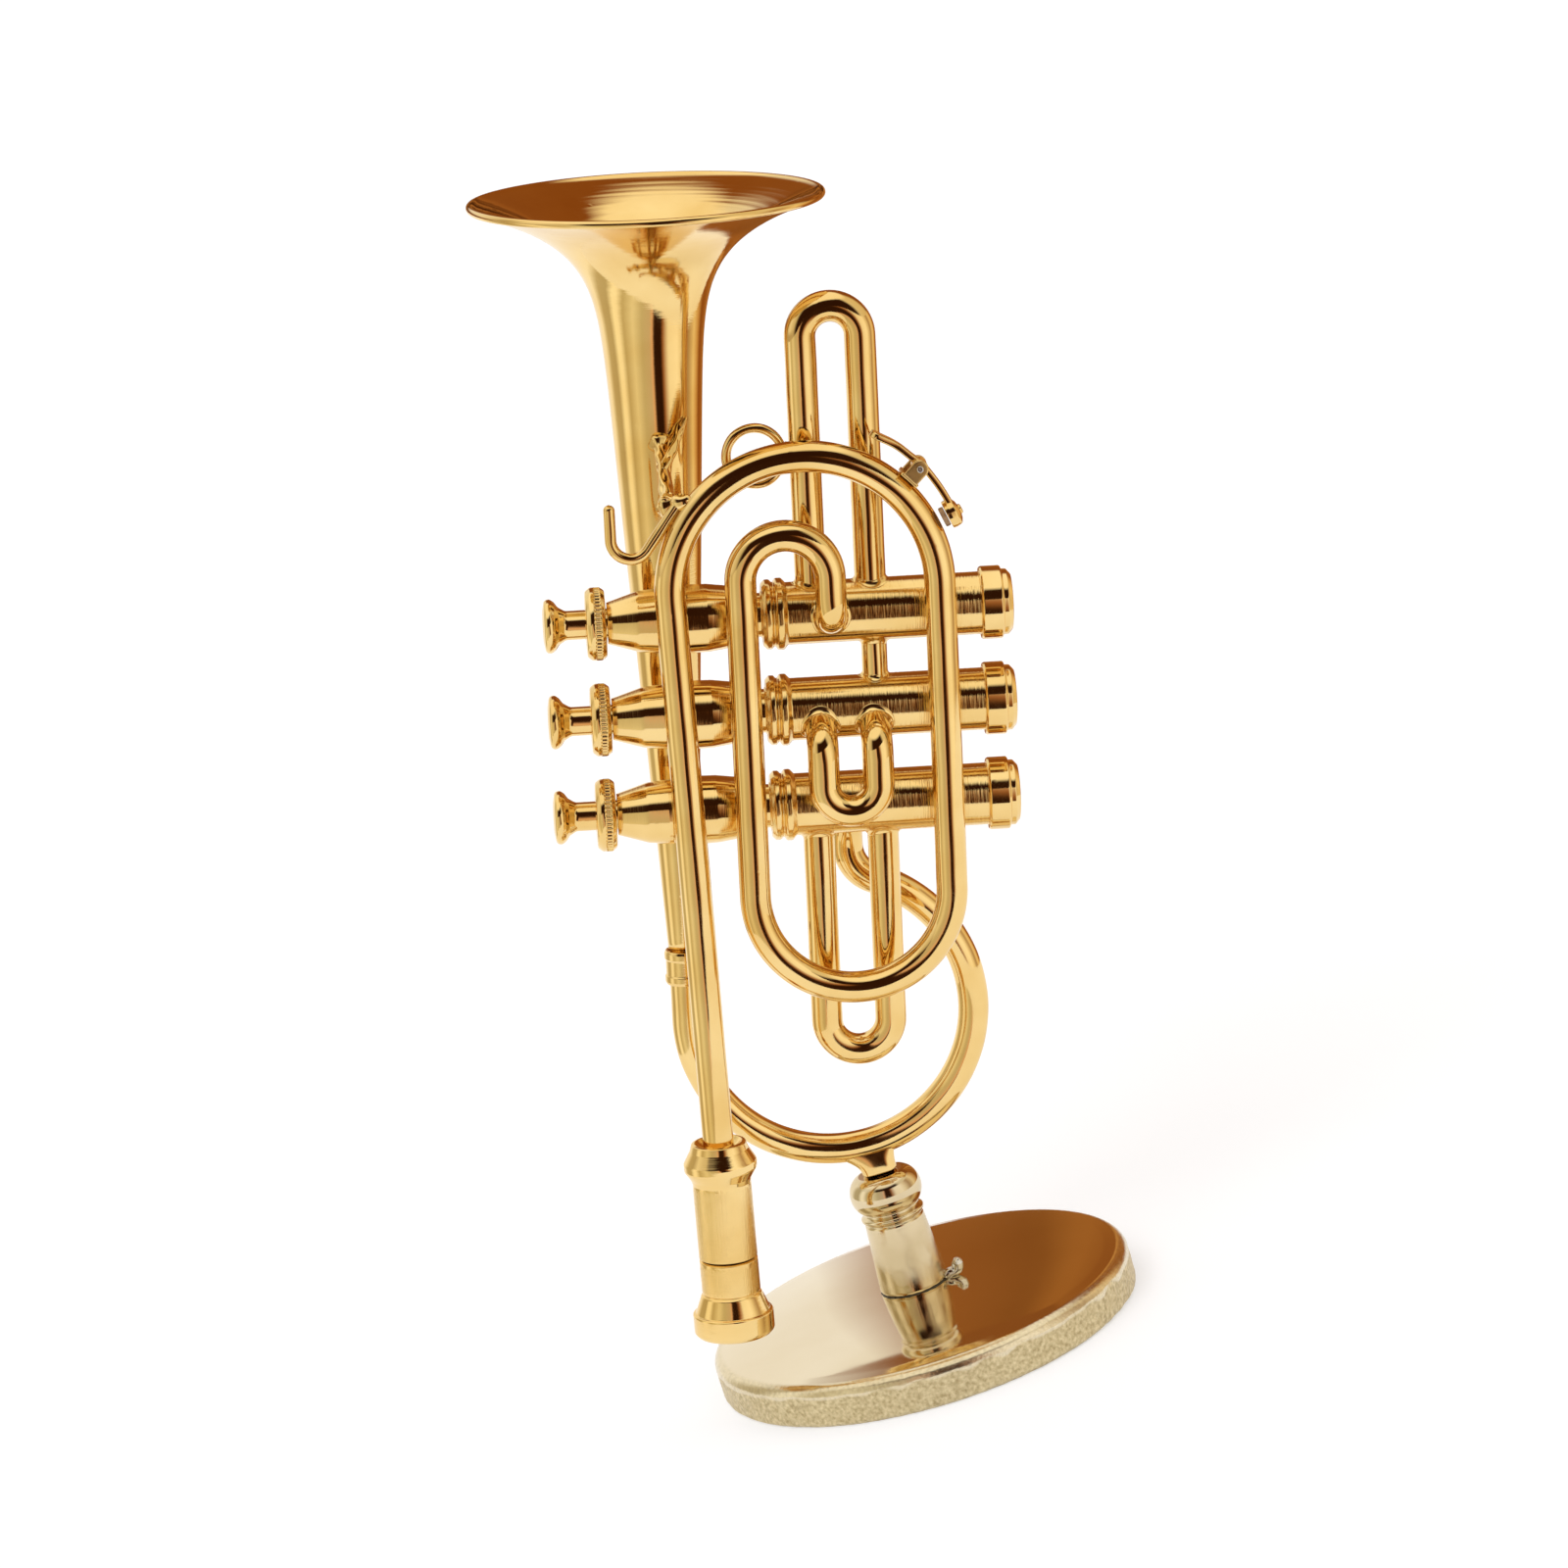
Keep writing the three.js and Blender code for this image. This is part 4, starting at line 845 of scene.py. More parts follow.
# ---------------------------------------------------------------- coiled leadpipe
# One length of drawn tube: up from the mouthpiece's receiver, over the top bend, down and round
# the bottom bend, up the middle, over a small crook and back into the front of the first valve.
COIL_Y = -(3.3 + 0.3 + TUBE_R)
COIL_RIGHT_X = 12.4
TOP_BEND_R = 12.8
TOP_BEND_X = COIL_RIGHT_X - TOP_BEND_R
TOP_BEND_Z = valve_z[0] + 3.25
BOTTOM_BEND_R = 9.45
BOTTOM_BEND_Z = valve_z[2] - 7.7
CROOK_R = 4.25
CROOK_Z = valve_z[0] + 4.3
ELBOW_R = 2.0
LEADPIPE_L = 56.4
LEADPIPE_TILT = math.radians(2.1)
leadpipe_up = np.array([-math.sin(LEADPIPE_TILT), 0, math.cos(LEADPIPE_TILT)])
leadpipe_top = np.array([TOP_BEND_X - TOP_BEND_R * math.cos(LEADPIPE_TILT), COIL_Y,
                         TOP_BEND_Z - TOP_BEND_R * math.sin(LEADPIPE_TILT)])
leadpipe_foot = leadpipe_top - LEADPIPE_L * leadpipe_up
coil = (Route(leadpipe_foot, leadpipe_up, np.cross(Y, leadpipe_up)).go(LEADPIPE_L)
        .bend(Y, TOP_BEND_R, math.pi + LEADPIPE_TILT).go(TOP_BEND_Z - BOTTOM_BEND_Z)
        .bend(Y, BOTTOM_BEND_R, math.pi).go(CROOK_Z - BOTTOM_BEND_Z)
        .bend(Y, CROOK_R, math.pi).go(CROOK_Z - valve_z[0] - ELBOW_R)
        .bend(X, ELBOW_R, math.pi / 2).go(-COIL_Y - ELBOW_R - PORT_END_R))
tubing("leadpipe", "leadpipe_coil", coil, ripple(32, 14, 1, 4, 1.3))


# ---------------------------------------------------------------- receiver and mouthpiece
# Turned brass on the leadpipe's end. The receiver has a double-coned collar and a satin sleeve.
# The mouthpiece's shank goes up into it, and below a fine groove come its cone, rim and cup.
RECEIVER_R = 2.85
RECEIVER_L = 11.7
COLLAR_R = 3.6
SHANK_L = 3.9
SHANK_R = 1.65
SHANK_SOCKET_R = 1.77
LEADPIPE_SOCKET_R = TUBE_R + 0.12
BACKBORE_R = 0.7
MOUTHPIECE_L = 7.7
RIM_R = 3.95
mouth_top = stood(leadpipe_foot + 3.0 * leadpipe_up)
mouth_up = CORNET @ leadpipe_up
mouth_side = np.cross(Y, mouth_up)
receiver_outline = rounded(
    [(LEADPIPE_SOCKET_R, -0.7, 0), (TUBE_R + 0.5, -0.35, 0.1), (COLLAR_R - 1.3, 0, 0.12),
     (COLLAR_R - 0.95, -0.1, 0.15), (COLLAR_R - 0.75, -0.75, 0.15), (COLLAR_R - 0.04, -2.0, 0.5),
     (COLLAR_R - 0.04, -2.7, 0.45), (COLLAR_R - 0.62, -3.65, 0.3), (RECEIVER_R, -4.1, 0.35),
     (RECEIVER_R, -RECEIVER_L + 0.12, 0.06), (RECEIVER_R - 0.22, -RECEIVER_L, 0.05),
     (SHANK_SOCKET_R, -RECEIVER_L, 0), (SHANK_SOCKET_R, -RECEIVER_L + SHANK_L + 0.3, 0),
     (1.0, -8.2, 0), (1.0, -3.3, 0), (LEADPIPE_SOCKET_R, -3.3, 0)], 0.12)
MOUTH_SIDES = 112
mouth_angle = turns(MOUTH_SIDES)[None]
sanding = ripple(41, 18, 20, 90, 0.7)


def satin_band(outline, top, foot):
    """1 on the outside between two heights, 0 elsewhere, with a soft ragged edge."""
    h = outline[:, 1][:, None] + 0.12 * sanding(mouth_angle, 0)
    outside = step_up(outline[:, 0], RECEIVER_R - 0.3, RECEIVER_R - 0.15)[:, None]
    return within(h, foot, top, 0.3) * outside


def brushed(angle, r, h):
    """Shallow flats and scratches along the sleeve, where it was rubbed with a fine paper."""
    return 0.003 * sanding(angle, h) * step_up(-h, 4.0, 4.6) * step_up(r, 2.5, 2.7)


satin_gilt = polished("satin_gilt", *GOLD, (0.04, 0.10), rings=0.12, satin="satin")
receiver_mesh = skin("receiver", spun(receiver_outline, MOUTH_SIDES, mouth_top, mouth_up,
                                      mouth_side, brushed),
                     loop=True, marks={"satin": satin_band(receiver_outline, -4.2, -12.1)})
piece("receiver", receiver_mesh, satin_gilt, "cornet", "turned_brass", "mouthpiece_receiver")

mouth_high = -RECEIVER_L - 0.1
mouth_low = mouth_high - MOUTHPIECE_L
rim_top = mouth_low + 2.4
mouthpiece_outline = rounded(
    [(BACKBORE_R, mouth_high + SHANK_L, 0), (SHANK_R, mouth_high + SHANK_L, 0.1),
     (SHANK_R, mouth_high, 0), (RECEIVER_R - 0.22, mouth_high, 0.05),
     (RECEIVER_R, mouth_high - 0.12, 0.06),
     (RECEIVER_R, mouth_high - 3.3, 0.1), (RECEIVER_R - 0.1, mouth_high - 3.42, 0.08),
     (RECEIVER_R + 0.12, rim_top + 1.7, 1.2), (RIM_R - 0.45, rim_top + 0.3, 0.3),
     (RIM_R - 0.32, rim_top - 0.02, 0.1), (RIM_R - 0.02, rim_top - 0.1, 0.2),
     (RIM_R - 0.02, mouth_low + 0.4, 0.4), (RIM_R - 0.35, mouth_low, 0.3),
     (3.1, mouth_low, 0.25), (2.8, mouth_low + 1.5, 1.2), (1.7, mouth_low + 2.9, 0.8),
     (BACKBORE_R, mouth_low + 3.4, 0.4)], 0.1)
mouthpiece_mesh = skin("mouthpiece", spun(mouthpiece_outline, MOUTH_SIDES, mouth_top, mouth_up,
                                          mouth_side, brushed), loop=True,
                       marks={"satin": satin_band(mouthpiece_outline, mouth_high - 0.3,
                                                  mouth_high - 3.3)})
piece("mouthpiece", mouthpiece_mesh, satin_gilt, "cornet", "turned_brass", "mouthpiece")


# ---------------------------------------------------------------- valves
# Three alike. A turned barrel screws into a beaded casing and guides the button's stem. The
# piston slides in the casing on a spring, between the knurled top cap and the bottom cap.
BUTTON_R = 2.65
TOP_CAP_R = 3.5
BARREL_R = 3.3
BEAD_R = 3.45
STEM_R = 1.4
STEM_BORE_R = 1.55
BORE_R = 2.4
PISTON_R = 2.25
PISTON_CROWN = 4.6
BOTTOM_CAP_R = 3.5
DIMPLE_R = 0.15
KNURLS = 54
VALVE_COLUMNS = 96
casing_gilt = polished("casing_gilt", *GOLD, (0.05, 0.11), rings=0.65)
cap_gilt = polished("cap_gilt", *GOLD, (0.05, 0.12), dents=0.25)
bright_steel = polished("bright_steel", (0.52, 0.52, 0.53), (0.68, 0.68, 0.69), (0.12, 0.24),
                        streaks=0.3)


def lathe_marks(seed, smooth_from, smooth_to):
    """Tool marks round a casing: rings of uneven depth, broken here and there, that leave a
    plain band between two places along it."""
    rings = ripple(seed, 30, 0, 1, 26)
    breaks = ripple(seed + 1, 14, 2, 14, 4)

    def marks(angle, r, h):
        plain = within(h, smooth_from, smooth_to, 0.3)
        outside = step_up(r, CASING_R - 0.1, CASING_R)
        depth = 0.0045 * (0.6 + 0.4 * breaks(angle, h)) * (1 - plain) * outside
        return depth * rings(angle, h) - 0.004 * outside

    return marks


def knurled(middle):
    """Teeth round the cap's edge: the sine of half the count x angle, to a power, cut only in
    a narrow band past the middle."""
    def teeth(angle, r, h):
        band = within(h, middle - 0.1, middle + 0.55, 0.1)
        band = band * step_up(r, TOP_CAP_R - 0.4, TOP_CAP_R - 0.15)
        return -0.16 * band * np.abs(np.sin(KNURLS * angle / 2)) ** 0.7

    return teeth


def span(number, part):
    """Where a valve's part starts and ends along the valve."""
    low, high = extent(f"valve_{number}_{part}")
    return low[0], high[0]


def past(start, corners):
    """Corners of an outline whose heights are measured from `start`."""
    return [(r, start + h, rounding) for r, h, rounding in corners]


def valve_piece(number, part, outline, material, body, loop=True, dent=None, columns=VALVE_COLUMNS):
    """One turned part of a valve, on that valve's axis, in place of its CAD node."""
    name = f"valve_{number}_{part}"
    points = spun(outline, columns, stood((0, 0, valve_z[number - 1])), ACROSS, UPRIGHT, dent)
    piece(f"v_{number}_{part}", skin(name, points, loop=loop), material, body, "turned_brass", name)


for number in (1, 2, 3):
    own_body = f"valve_{number}"
    casing_x, casing_end = span(number, "casing")
    casing_outline = rounded(
        [(BORE_R, casing_x, 0),
         *past(casing_x, [(BEAD_R - 0.45, 0, 0.12), (BEAD_R - 0.1, 0.35, 0.2),
                          (BEAD_R - 0.1, 0.8, 0.2), (BEAD_R - 0.45, 1.1, 0.12),
                          (BEAD_R, 1.38, 0.25), (BEAD_R, 1.95, 0.25), (CASING_R, 2.35, 0.15)]),
         (CASING_R, casing_end, 0.08), (BORE_R, casing_end, 0)], 0.085)
    valve_piece(number, "casing", casing_outline, casing_gilt, "cornet",
                dent=lathe_marks(50 + 3 * number, 9.9, 10.9))

    barrel_x, spigot_end = span(number, "barrel")
    barrel_outline = rounded(
        [(STEM_BORE_R, barrel_x, 0),
         *past(barrel_x, [(2.0, 0, 0.1), (2.15, 0.5, 0.3), (2.9, 2.9, 2),
                          (BARREL_R - 0.18, 4.9, 0.4), (BARREL_R - 0.17, 5.3, 0.08),
                          (BARREL_R - 0.27, 5.42, 0.04), (BARREL_R - 0.14, 5.54, 0.08),
                          (BARREL_R - 0.12, 5.9, 0.08), (BARREL_R - 0.22, 6.02, 0.04),
                          (BARREL_R - 0.1, 6.14, 0.08), (BARREL_R, 7.6, 2),
                          (BARREL_R - 0.05, 9.6, 2), (BARREL_R - 0.32, 11.6, 1.2)]),
         (2.1, casing_x - 1.1, 0.5), (2.1, casing_x - 0.1, 0.1), (PISTON_R, casing_x - 0.1, 0),
         (PISTON_R, spigot_end, 0), (STEM_BORE_R, spigot_end, 0)], 0.12)
    barrel_marks = ripple(70 + number, 20, 0, 1, 20)
    waist = barrel_x + 8
    valve_piece(number, "barrel", barrel_outline, turned_gilt, "cornet",
                dent=lambda angle, r, h: (0.002 * barrel_marks(angle, h)
                                          * step_up(h, waist, waist + 1)))

    cap_x, cap_end = span(number, "top_cap")
    top_cap_outline = rounded(
        [(STEM_BORE_R, cap_x, 0), (2.2, cap_x, 0.15), (TOP_CAP_R - 0.35, cap_x + 0.08, 0.35),
         (TOP_CAP_R, cap_x + 0.55, 0.4), (TOP_CAP_R, cap_end - 0.5, 0.35),
         (TOP_CAP_R - 0.35, cap_end - 0.05, 0.3), (2.1, cap_end, 0.2),
         (STEM_BORE_R, cap_end, 0)], 0.07)
    valve_piece(number, "top_cap", top_cap_outline, cap_gilt, "cornet",
                dent=knurled((cap_x + cap_end) / 2), columns=KNURLS * 8)

    button_x, stem_end = span(number, "button")
    button_outline = rounded(
        past(button_x, [(DIMPLE_R, 0.02, 0), (1.5, 0.05, 0.8), (BUTTON_R - 0.15, 0.25, 0.5),
                        (BUTTON_R, 0.75, 0.5), (BUTTON_R - 0.35, 1.2, 0.4),
                        (STEM_R + 0.4, 1.55, 0.5), (STEM_R, 2.2, 0.6)])
        + [(STEM_R, stem_end - 0.1, 0.1), (DIMPLE_R, stem_end - 0.02, 0)], 0.1)
    valve_piece(number, "button", button_outline, cap_gilt, own_body, loop=False, columns=64)

    piston_x, piston_end = span(number, "piston")
    piston_outline = rounded(
        [(DIMPLE_R, piston_x, 0), (PISTON_R, piston_x, 0.15), (PISTON_R, piston_end, 0.08),
         (PISTON_R - 0.4, piston_end, 0.05), (PISTON_R - 0.4, piston_x + PISTON_CROWN, 0.2),
         (DIMPLE_R, piston_x + PISTON_CROWN, 0)], 0.25)
    valve_piece(number, "piston", piston_outline, bright_steel, own_body, loop=False, columns=48)

    bottom_x, bottom_end = span(number, "bottom_cap")
    bottom_outline = rounded(
        past(bottom_x, [(CASING_R + 0.04, 0.05, 0), (BOTTOM_CAP_R - 0.12, 0, 0.1),
                        (BOTTOM_CAP_R, 0.2, 0.12), (BOTTOM_CAP_R, 1.95, 0.1),
                        (BOTTOM_CAP_R - 0.1, 2.05, 0.05), (BOTTOM_CAP_R - 0.34, 2.12, 0.06)])
        + [(BOTTOM_CAP_R - 0.36, bottom_end - 0.5, 0.12),
           (BOTTOM_CAP_R - 0.85, bottom_end - 0.08, 0.15),
           (BOTTOM_CAP_R - 1.3, bottom_end - 0.02, 0.1),
           (BOTTOM_CAP_R - 1.5, bottom_end - 0.22, 0.1),
           (0.6, bottom_end - 0.12, 0.3), (DIMPLE_R, bottom_end - 0.12, 0)], 0.09)
    inside = [(DIMPLE_R, casing_end + 0.3), (CASING_R + 0.04, casing_end + 0.3)]
    valve_piece(number, "bottom_cap", np.concatenate([inside, bottom_outline]), cap_gilt, "cornet",
                loop=False)

SPRING_TURNS = 5
SPRING_R = 1.5
SPRING_WIRE_R = 0.2
for number in (1, 2, 3):
    start, end = span(number, "piston")[0] + 7.0, CASING_END_X - 0.1
    turn_angle = np.linspace(0, 2 * np.pi * SPRING_TURNS, SPRING_TURNS * 40)
    rise = (end - start) / turn_angle[-1]
    radial = np.stack([0 * turn_angle, np.cos(turn_angle), np.sin(turn_angle)], 1)
    tangent = np.stack([rise + 0 * turn_angle, -SPRING_R * np.sin(turn_angle),
                        SPRING_R * np.cos(turn_angle)], 1)
    tangent /= np.linalg.norm(tangent, axis=1)[:, None]
    coil_spring = Route(ORIGIN, X, Y)
    coil_spring.points = [SPRING_R * radial + np.stack(
        [start + rise * turn_angle, 0 * turn_angle, 0 * turn_angle + valve_z[number - 1]], 1)]
    coil_spring.headings = [tangent]
    coil_spring.sides = [radial]
    name = f"v_{number}_spring"
    spring_mesh = skin(name, drawn(placed(coil_spring), SPRING_WIRE_R, 10))
    piece(name, spring_mesh, bright_steel, "cornet", "steel", f"valve_{number}_spring")


# ---------------------------------------------------------------- slides and knuckles
# Hairpins of the same tube, each soldered into one valve at both ends: the first points up, the
# third down, the second forward and down. Short thinner tubes, the knuckles, join the casings.
FIRST_SLIDE = (0.4, 6.1, 29.4)
THIRD_SLIDE = (0.1, 6.3, 24.8)
SECOND_SLIDE = (0.6, 5.8, 9.1)
SECOND_BEND_R = 2.2
SECOND_DIP = math.radians(25)
SECOND_WAY = np.array([0, -math.cos(SECOND_DIP), -math.sin(SECOND_DIP)])
SECOND_Y = -(CASING_R + 0.7 + TUBE_R)
KNUCKLE_R = 1.22
KNUCKLE_X = 6.2


def hairpin(slide, start_z, way):
    """Out of a valve along z, round a half circle and back in, beside the valve's axis."""
    first_x, last_x, reach = slide
    radius = (last_x - first_x) / 2
    leg = reach - radius - PORT_END_R
    return (Route((first_x, 0, start_z + way * PORT_END_R), way * Z, X).go(leg)
            .bend(way * Y, radius, math.pi).go(leg))


def second_slide():
    """Forward and down out of the second valve, straight down, round and back up into it."""
    first_x, last_x, reach = SECOND_SLIDE
    out = ((-SECOND_Y - SECOND_BEND_R * (1 - math.sin(SECOND_DIP))) / math.cos(SECOND_DIP)
           - PORT_END_R)
    angle = math.pi / 2 - SECOND_DIP
    start = np.array([first_x, 0, valve_z[1]]) + SECOND_WAY * PORT_END_R
    route = Route(start, SECOND_WAY, X, 0.2).go(out).bend(X, SECOND_BEND_R, angle)
    radius = (last_x - first_x) / 2
    drop = reach - radius + route.points[-1][-1][2] - valve_z[1]
    return (route.go(drop).bend(-Y, radius, math.pi).go(drop)
            .bend(-X, SECOND_BEND_R, angle).go(out))


for name, route, seed in (("first_slide", hairpin(FIRST_SLIDE, valve_z[0], 1), 81),
                          ("second_slide", second_slide(), 82),
                          ("third_slide", hairpin(THIRD_SLIDE, valve_z[2], -1), 83)):
    tubing(name, name, route, ripple(seed, 14, 1, 4, 1.5))

for upper in (0, 1):
    length = valve_z[upper] - valve_z[upper + 1] - 2 * PORT_END_R
    knuckle = Route((KNUCKLE_X, 0, valve_z[upper + 1] + PORT_END_R), Z, X, 0.15).go(length)
    name = f"knuckle_{upper + 1}_{upper + 2}"
    tubing(name, name, knuckle, ripple(84 + upper, 10, 1, 4, 2), KNUCKLE_R, 40)


def joined(name, meshes):
    """One mesh of several, each still its own closed surface."""
    whole = bmesh.new()
    for mesh in meshes:
        whole.from_mesh(mesh)
    mesh = bpy.data.meshes.new(name)
    whole.to_mesh(mesh)
    whole.free()
    return mesh


def solder_fillet(name, x, z, way, tube_r, seed, size=0.42):
    """The fillet of solder where a tube meets a casing: a hollow quarter round of `size` that
    runs round the tube and follows the casing, whose height above the valve's axis at s to
    the side is the root of (R squared - s squared). It is a little lumpy."""
    angle = turns(72)[None]
    f = size * (1 + 0.16 * ripple(seed, 9, 1, 6, 0)(angle, 0 * angle))
    a = np.linspace(0, np.pi / 2, 9)[:, None]
    out = np.concatenate([tube_r + f * (1 - np.sin(a)), tube_r - 0.25 + 0 * angle,
                          tube_r - 0.25 + 0 * angle, tube_r + f])
    lift = np.concatenate([f * (1 - np.cos(a)), f - 0.02 + 0 * angle, -0.3 + 0 * angle,
                           -0.12 + 0 * angle])
    third = np.cross(way, X)
    sideways = out * np.sin(angle)
    height = np.sqrt(CASING_R ** 2 - sideways ** 2) + lift
    own = (np.array([x, 0, z]) + (out * np.cos(angle))[..., None] * X
           + sideways[..., None] * third + height[..., None] * way)
    return skin(name, stood(own), loop=True)


bow_way = np.array([0, math.sin(BOW_ENTRY), -math.cos(BOW_ENTRY)])
coil_end_x = COIL_RIGHT_X - 2 * BOTTOM_BEND_R + 2 * CROOK_R
FILLETS = {
    1: [(FIRST_SLIDE[0], Z, TUBE_R), (FIRST_SLIDE[1], Z, TUBE_R), (coil_end_x, -Y, TUBE_R),
        (KNUCKLE_X, -Z, KNUCKLE_R)],
    2: [(KNUCKLE_X, Z, KNUCKLE_R), (SECOND_SLIDE[0], SECOND_WAY, TUBE_R),
        (SECOND_SLIDE[1], SECOND_WAY, TUBE_R), (KNUCKLE_X, -Z, KNUCKLE_R)],
    3: [(KNUCKLE_X, Z, KNUCKLE_R), (THIRD_SLIDE[0], -Z, TUBE_R), (THIRD_SLIDE[1], -Z, TUBE_R),
        (BOW_PORT_X, bow_way, TUBE_R)],
}
for number, joints in FILLETS.items():
    fillets = [solder_fillet(f"fillet_{number}_{i}", x, valve_z[number - 1], way, tube_r,
                             90 + 5 * number + i)
               for i, (x, way, tube_r) in enumerate(joints)]
    name = f"v_{number}_solder"
    piece(name, joined(name, fillets), peg_metal, "cornet", "tubing")


# ---------------------------------------------------------------- finger ring, hook and brace
# Bent brass wire, soldered on and plated with the rest: a ring on the first slide, a hook on the
# top bend for the little finger, and a short strut from the top bend back to the bell.
RING_R = 2.7
RING_WIRE_R = 0.46
HOOK_WIRE_R = 0.55
BRACE_R = 0.72
wire_gilt = polished("wire_gilt", *GOLD, (0.05, 0.13), dents=0.5)


def blob(centre, radii, seed):
    """A drop of solder: an ellipsoid, centre + radii x (sin b cos a, sin b sin a, cos b), with
    a lumpy radius."""
    b, a = np.meshgrid(np.linspace(0.12, np.pi - 0.12, 22), turns(32), indexing="ij")
    swell = 1 + 0.07 * ripple(seed, 8, 1, 4, 3)(a, b)
    ball = np.stack([np.sin(b) * np.cos(a), np.sin(b) * np.sin(a), np.cos(b)], -1)
    return stood(np.asarray(centre) + ball * np.asarray(radii) * swell[..., None])


def on_top_bend(degrees, out, y=COIL_Y):
    """A point `out` beyond the middle of the top bend's tube."""
    angle = math.radians(degrees)
    radius = TOP_BEND_R + out
    return np.array([TOP_BEND_X + radius * math.cos(angle), y,
                     TOP_BEND_Z + radius * math.sin(angle)])


ring_centre = sum(extent("finger_ring")) / 2
flat_ring = hoop(RING_R, RING_WIRE_R, 0, 120, 20, ripple(101, 9, 1, 7, 0), 0.05)
ring_mesh = skin("ring", stood(ring_centre + flat_ring[..., [0, 2, 1]]), loop=True)
ring_joint = skin("ring_joint", blob(ring_centre + (RING_R + 0.35, 0, 0.3), (0.55, 0.6, 0.9), 102))
piece("finger_ring", joined("finger_ring", [ring_mesh, ring_joint]), wire_gilt, "cornet",
      "tubing", "finger_ring")

hook_slope = math.radians(211) + 0.5
hook = Route(on_top_bend(139, TUBE_R + HOOK_WIRE_R - 0.1),
             (math.cos(hook_slope), 0, math.sin(hook_slope)), Y, 0.12)
hook.bend(Y, 16, 0.1).go(4.6).bend(Y, 1.9, math.pi * 0.8).go(3.4)
hook_points = drawn(placed(hook), dome_ends(HOOK_WIRE_R, 0.5, 14.4), 32,
                    ripple(103, 9, 1, 4, 2), 0.012)
hook_joint = skin("hook_joint", blob(on_top_bend(141, TUBE_R + 0.1), (1.15, 0.75, 0.8), 104))
piece("finger_hook", joined("finger_hook", [skin("hook", hook_points), hook_joint]), wire_gilt,
      "cornet", "tubing", "finger_hook")


def on_bell(x, z, sunk):
    """A point on the side of the bell that faces the coil, `sunk` into it."""
    return np.array([x, BELL_Y - bell_radius(BELL_TAIL + BELL_L - z) + sunk, z])


def straight(start, end):
    """A straight route between two points, with its side square to x."""
    way = end - start
    side = np.cross(X, way)
    return Route(start, way, side / np.linalg.norm(side), 0.12).go(np.linalg.norm(way))


def strut(t):
    """The strut's radius: waisted in the middle, widened by solder at both feet."""
    return BRACE_R * (0.85 + 0.9 * np.exp(-(t / 0.1) ** 2) + 0.7 * np.exp(-((1 - t) / 0.08) ** 2))


brace_from = on_top_bend(146, TUBE_R + BRACE_R, COIL_Y + 0.9)
brace_z = brace_from[2] + 5.0
brace_to = on_bell(BELL_X, brace_z, 0.15)
leg_from = brace_from + 0.55 * (brace_to - brace_from)
leg_to = on_bell(BELL_X + 2.6, brace_z + 2.2, 0.9)
joint_at = brace_from + 0.02 * (brace_to - brace_from)
strut_points = drawn(placed(straight(brace_from, brace_to)), strut, 32,
                     ripple(105, 10, 1, 5, 3), 0.09)
leg_points = drawn(placed(straight(leg_from, leg_to)), lambda t: 0.62 - 0.3 * t, 28,
                   ripple(106, 10, 1, 5, 3), 0.08)
brace_parts = [skin("strut", strut_points), skin("leg", leg_points),
               skin("brace_joint", blob(joint_at, (1.1, 1.0, 1.3), 107))]
brace_mesh = joined("bell_brace", brace_parts)
piece("bell_brace", brace_mesh, wire_gilt, "cornet", "tubing", "bell_brace")


# ---------------------------------------------------------------- water key
# A lever on a pin between two ears, on the outside of the top bend. Its long arm is pressed, and
# its short arm lifts a cork in a cup off the drain hole. Its x runs along the tube, z out of it.
key_press = next(j for j in frame["joints"] if j["name"] == "water_key_press")
KEY_PIVOT = np.array(key_press["pos_m"], float) / MM
KEY_TURN = math.radians(45)
KEY_AXES = CORNET @ np.array([[math.cos(KEY_TURN), 0, math.sin(KEY_TURN)], [0, 1, 0],
                              [-math.sin(KEY_TURN), 0, math.cos(KEY_TURN)]])
KEY_PIVOT_R = TOP_BEND_R + TUBE_R + 1.6
KEY_PAD = math.radians(20)
KEY_HUB_R = 0.8
KEY_EAR_Y = 1.375
KEY_HALF_W = 0.9
KEY_HALF_T = 0.33
KEY_PIN_R = 0.33
KEY_PIN_HALF_L = 1.9
KEY_HUB_BORE_R = 0.48
KEY_HUB_HALF_L = 0.88
CORK_R = 0.97
CORK_THICK = 0.47
EAR_R = 0.82
KEY_FOOT_R = KEY_PIVOT_R - 1.42


def on_key(points):
    """Points in the water key's own axes, turned to how the cornet stands."""
    return KEY_PIVOT + np.asarray(points) @ KEY_AXES.T


def plate(outline, thick, bevel, lay):
    """A flat plate with rounded edges. Rows follow the edge's section, a half round of `bevel`
    at each face, and columns the outline, drawn in by the same amount towards its middle."""
    centre = outline.mean(0)
    a = np.linspace(0, np.pi / 2, 5)
    rising, falling = bevel * (1 - np.cos(a)), bevel * (1 - np.sin(a))
    inset = np.concatenate([[3 * bevel], falling, rising, [3 * bevel]])
    level = np.concatenate([[0], rising, thick - falling, [thick]])
    spread = np.linalg.norm(outline - centre, axis=1).mean()
    rows = centre + (outline - centre)[None] * (1 - inset / spread)[:, None, None]
    return lay(rows[..., 0], rows[..., 1], level[:, None] - thick / 2)


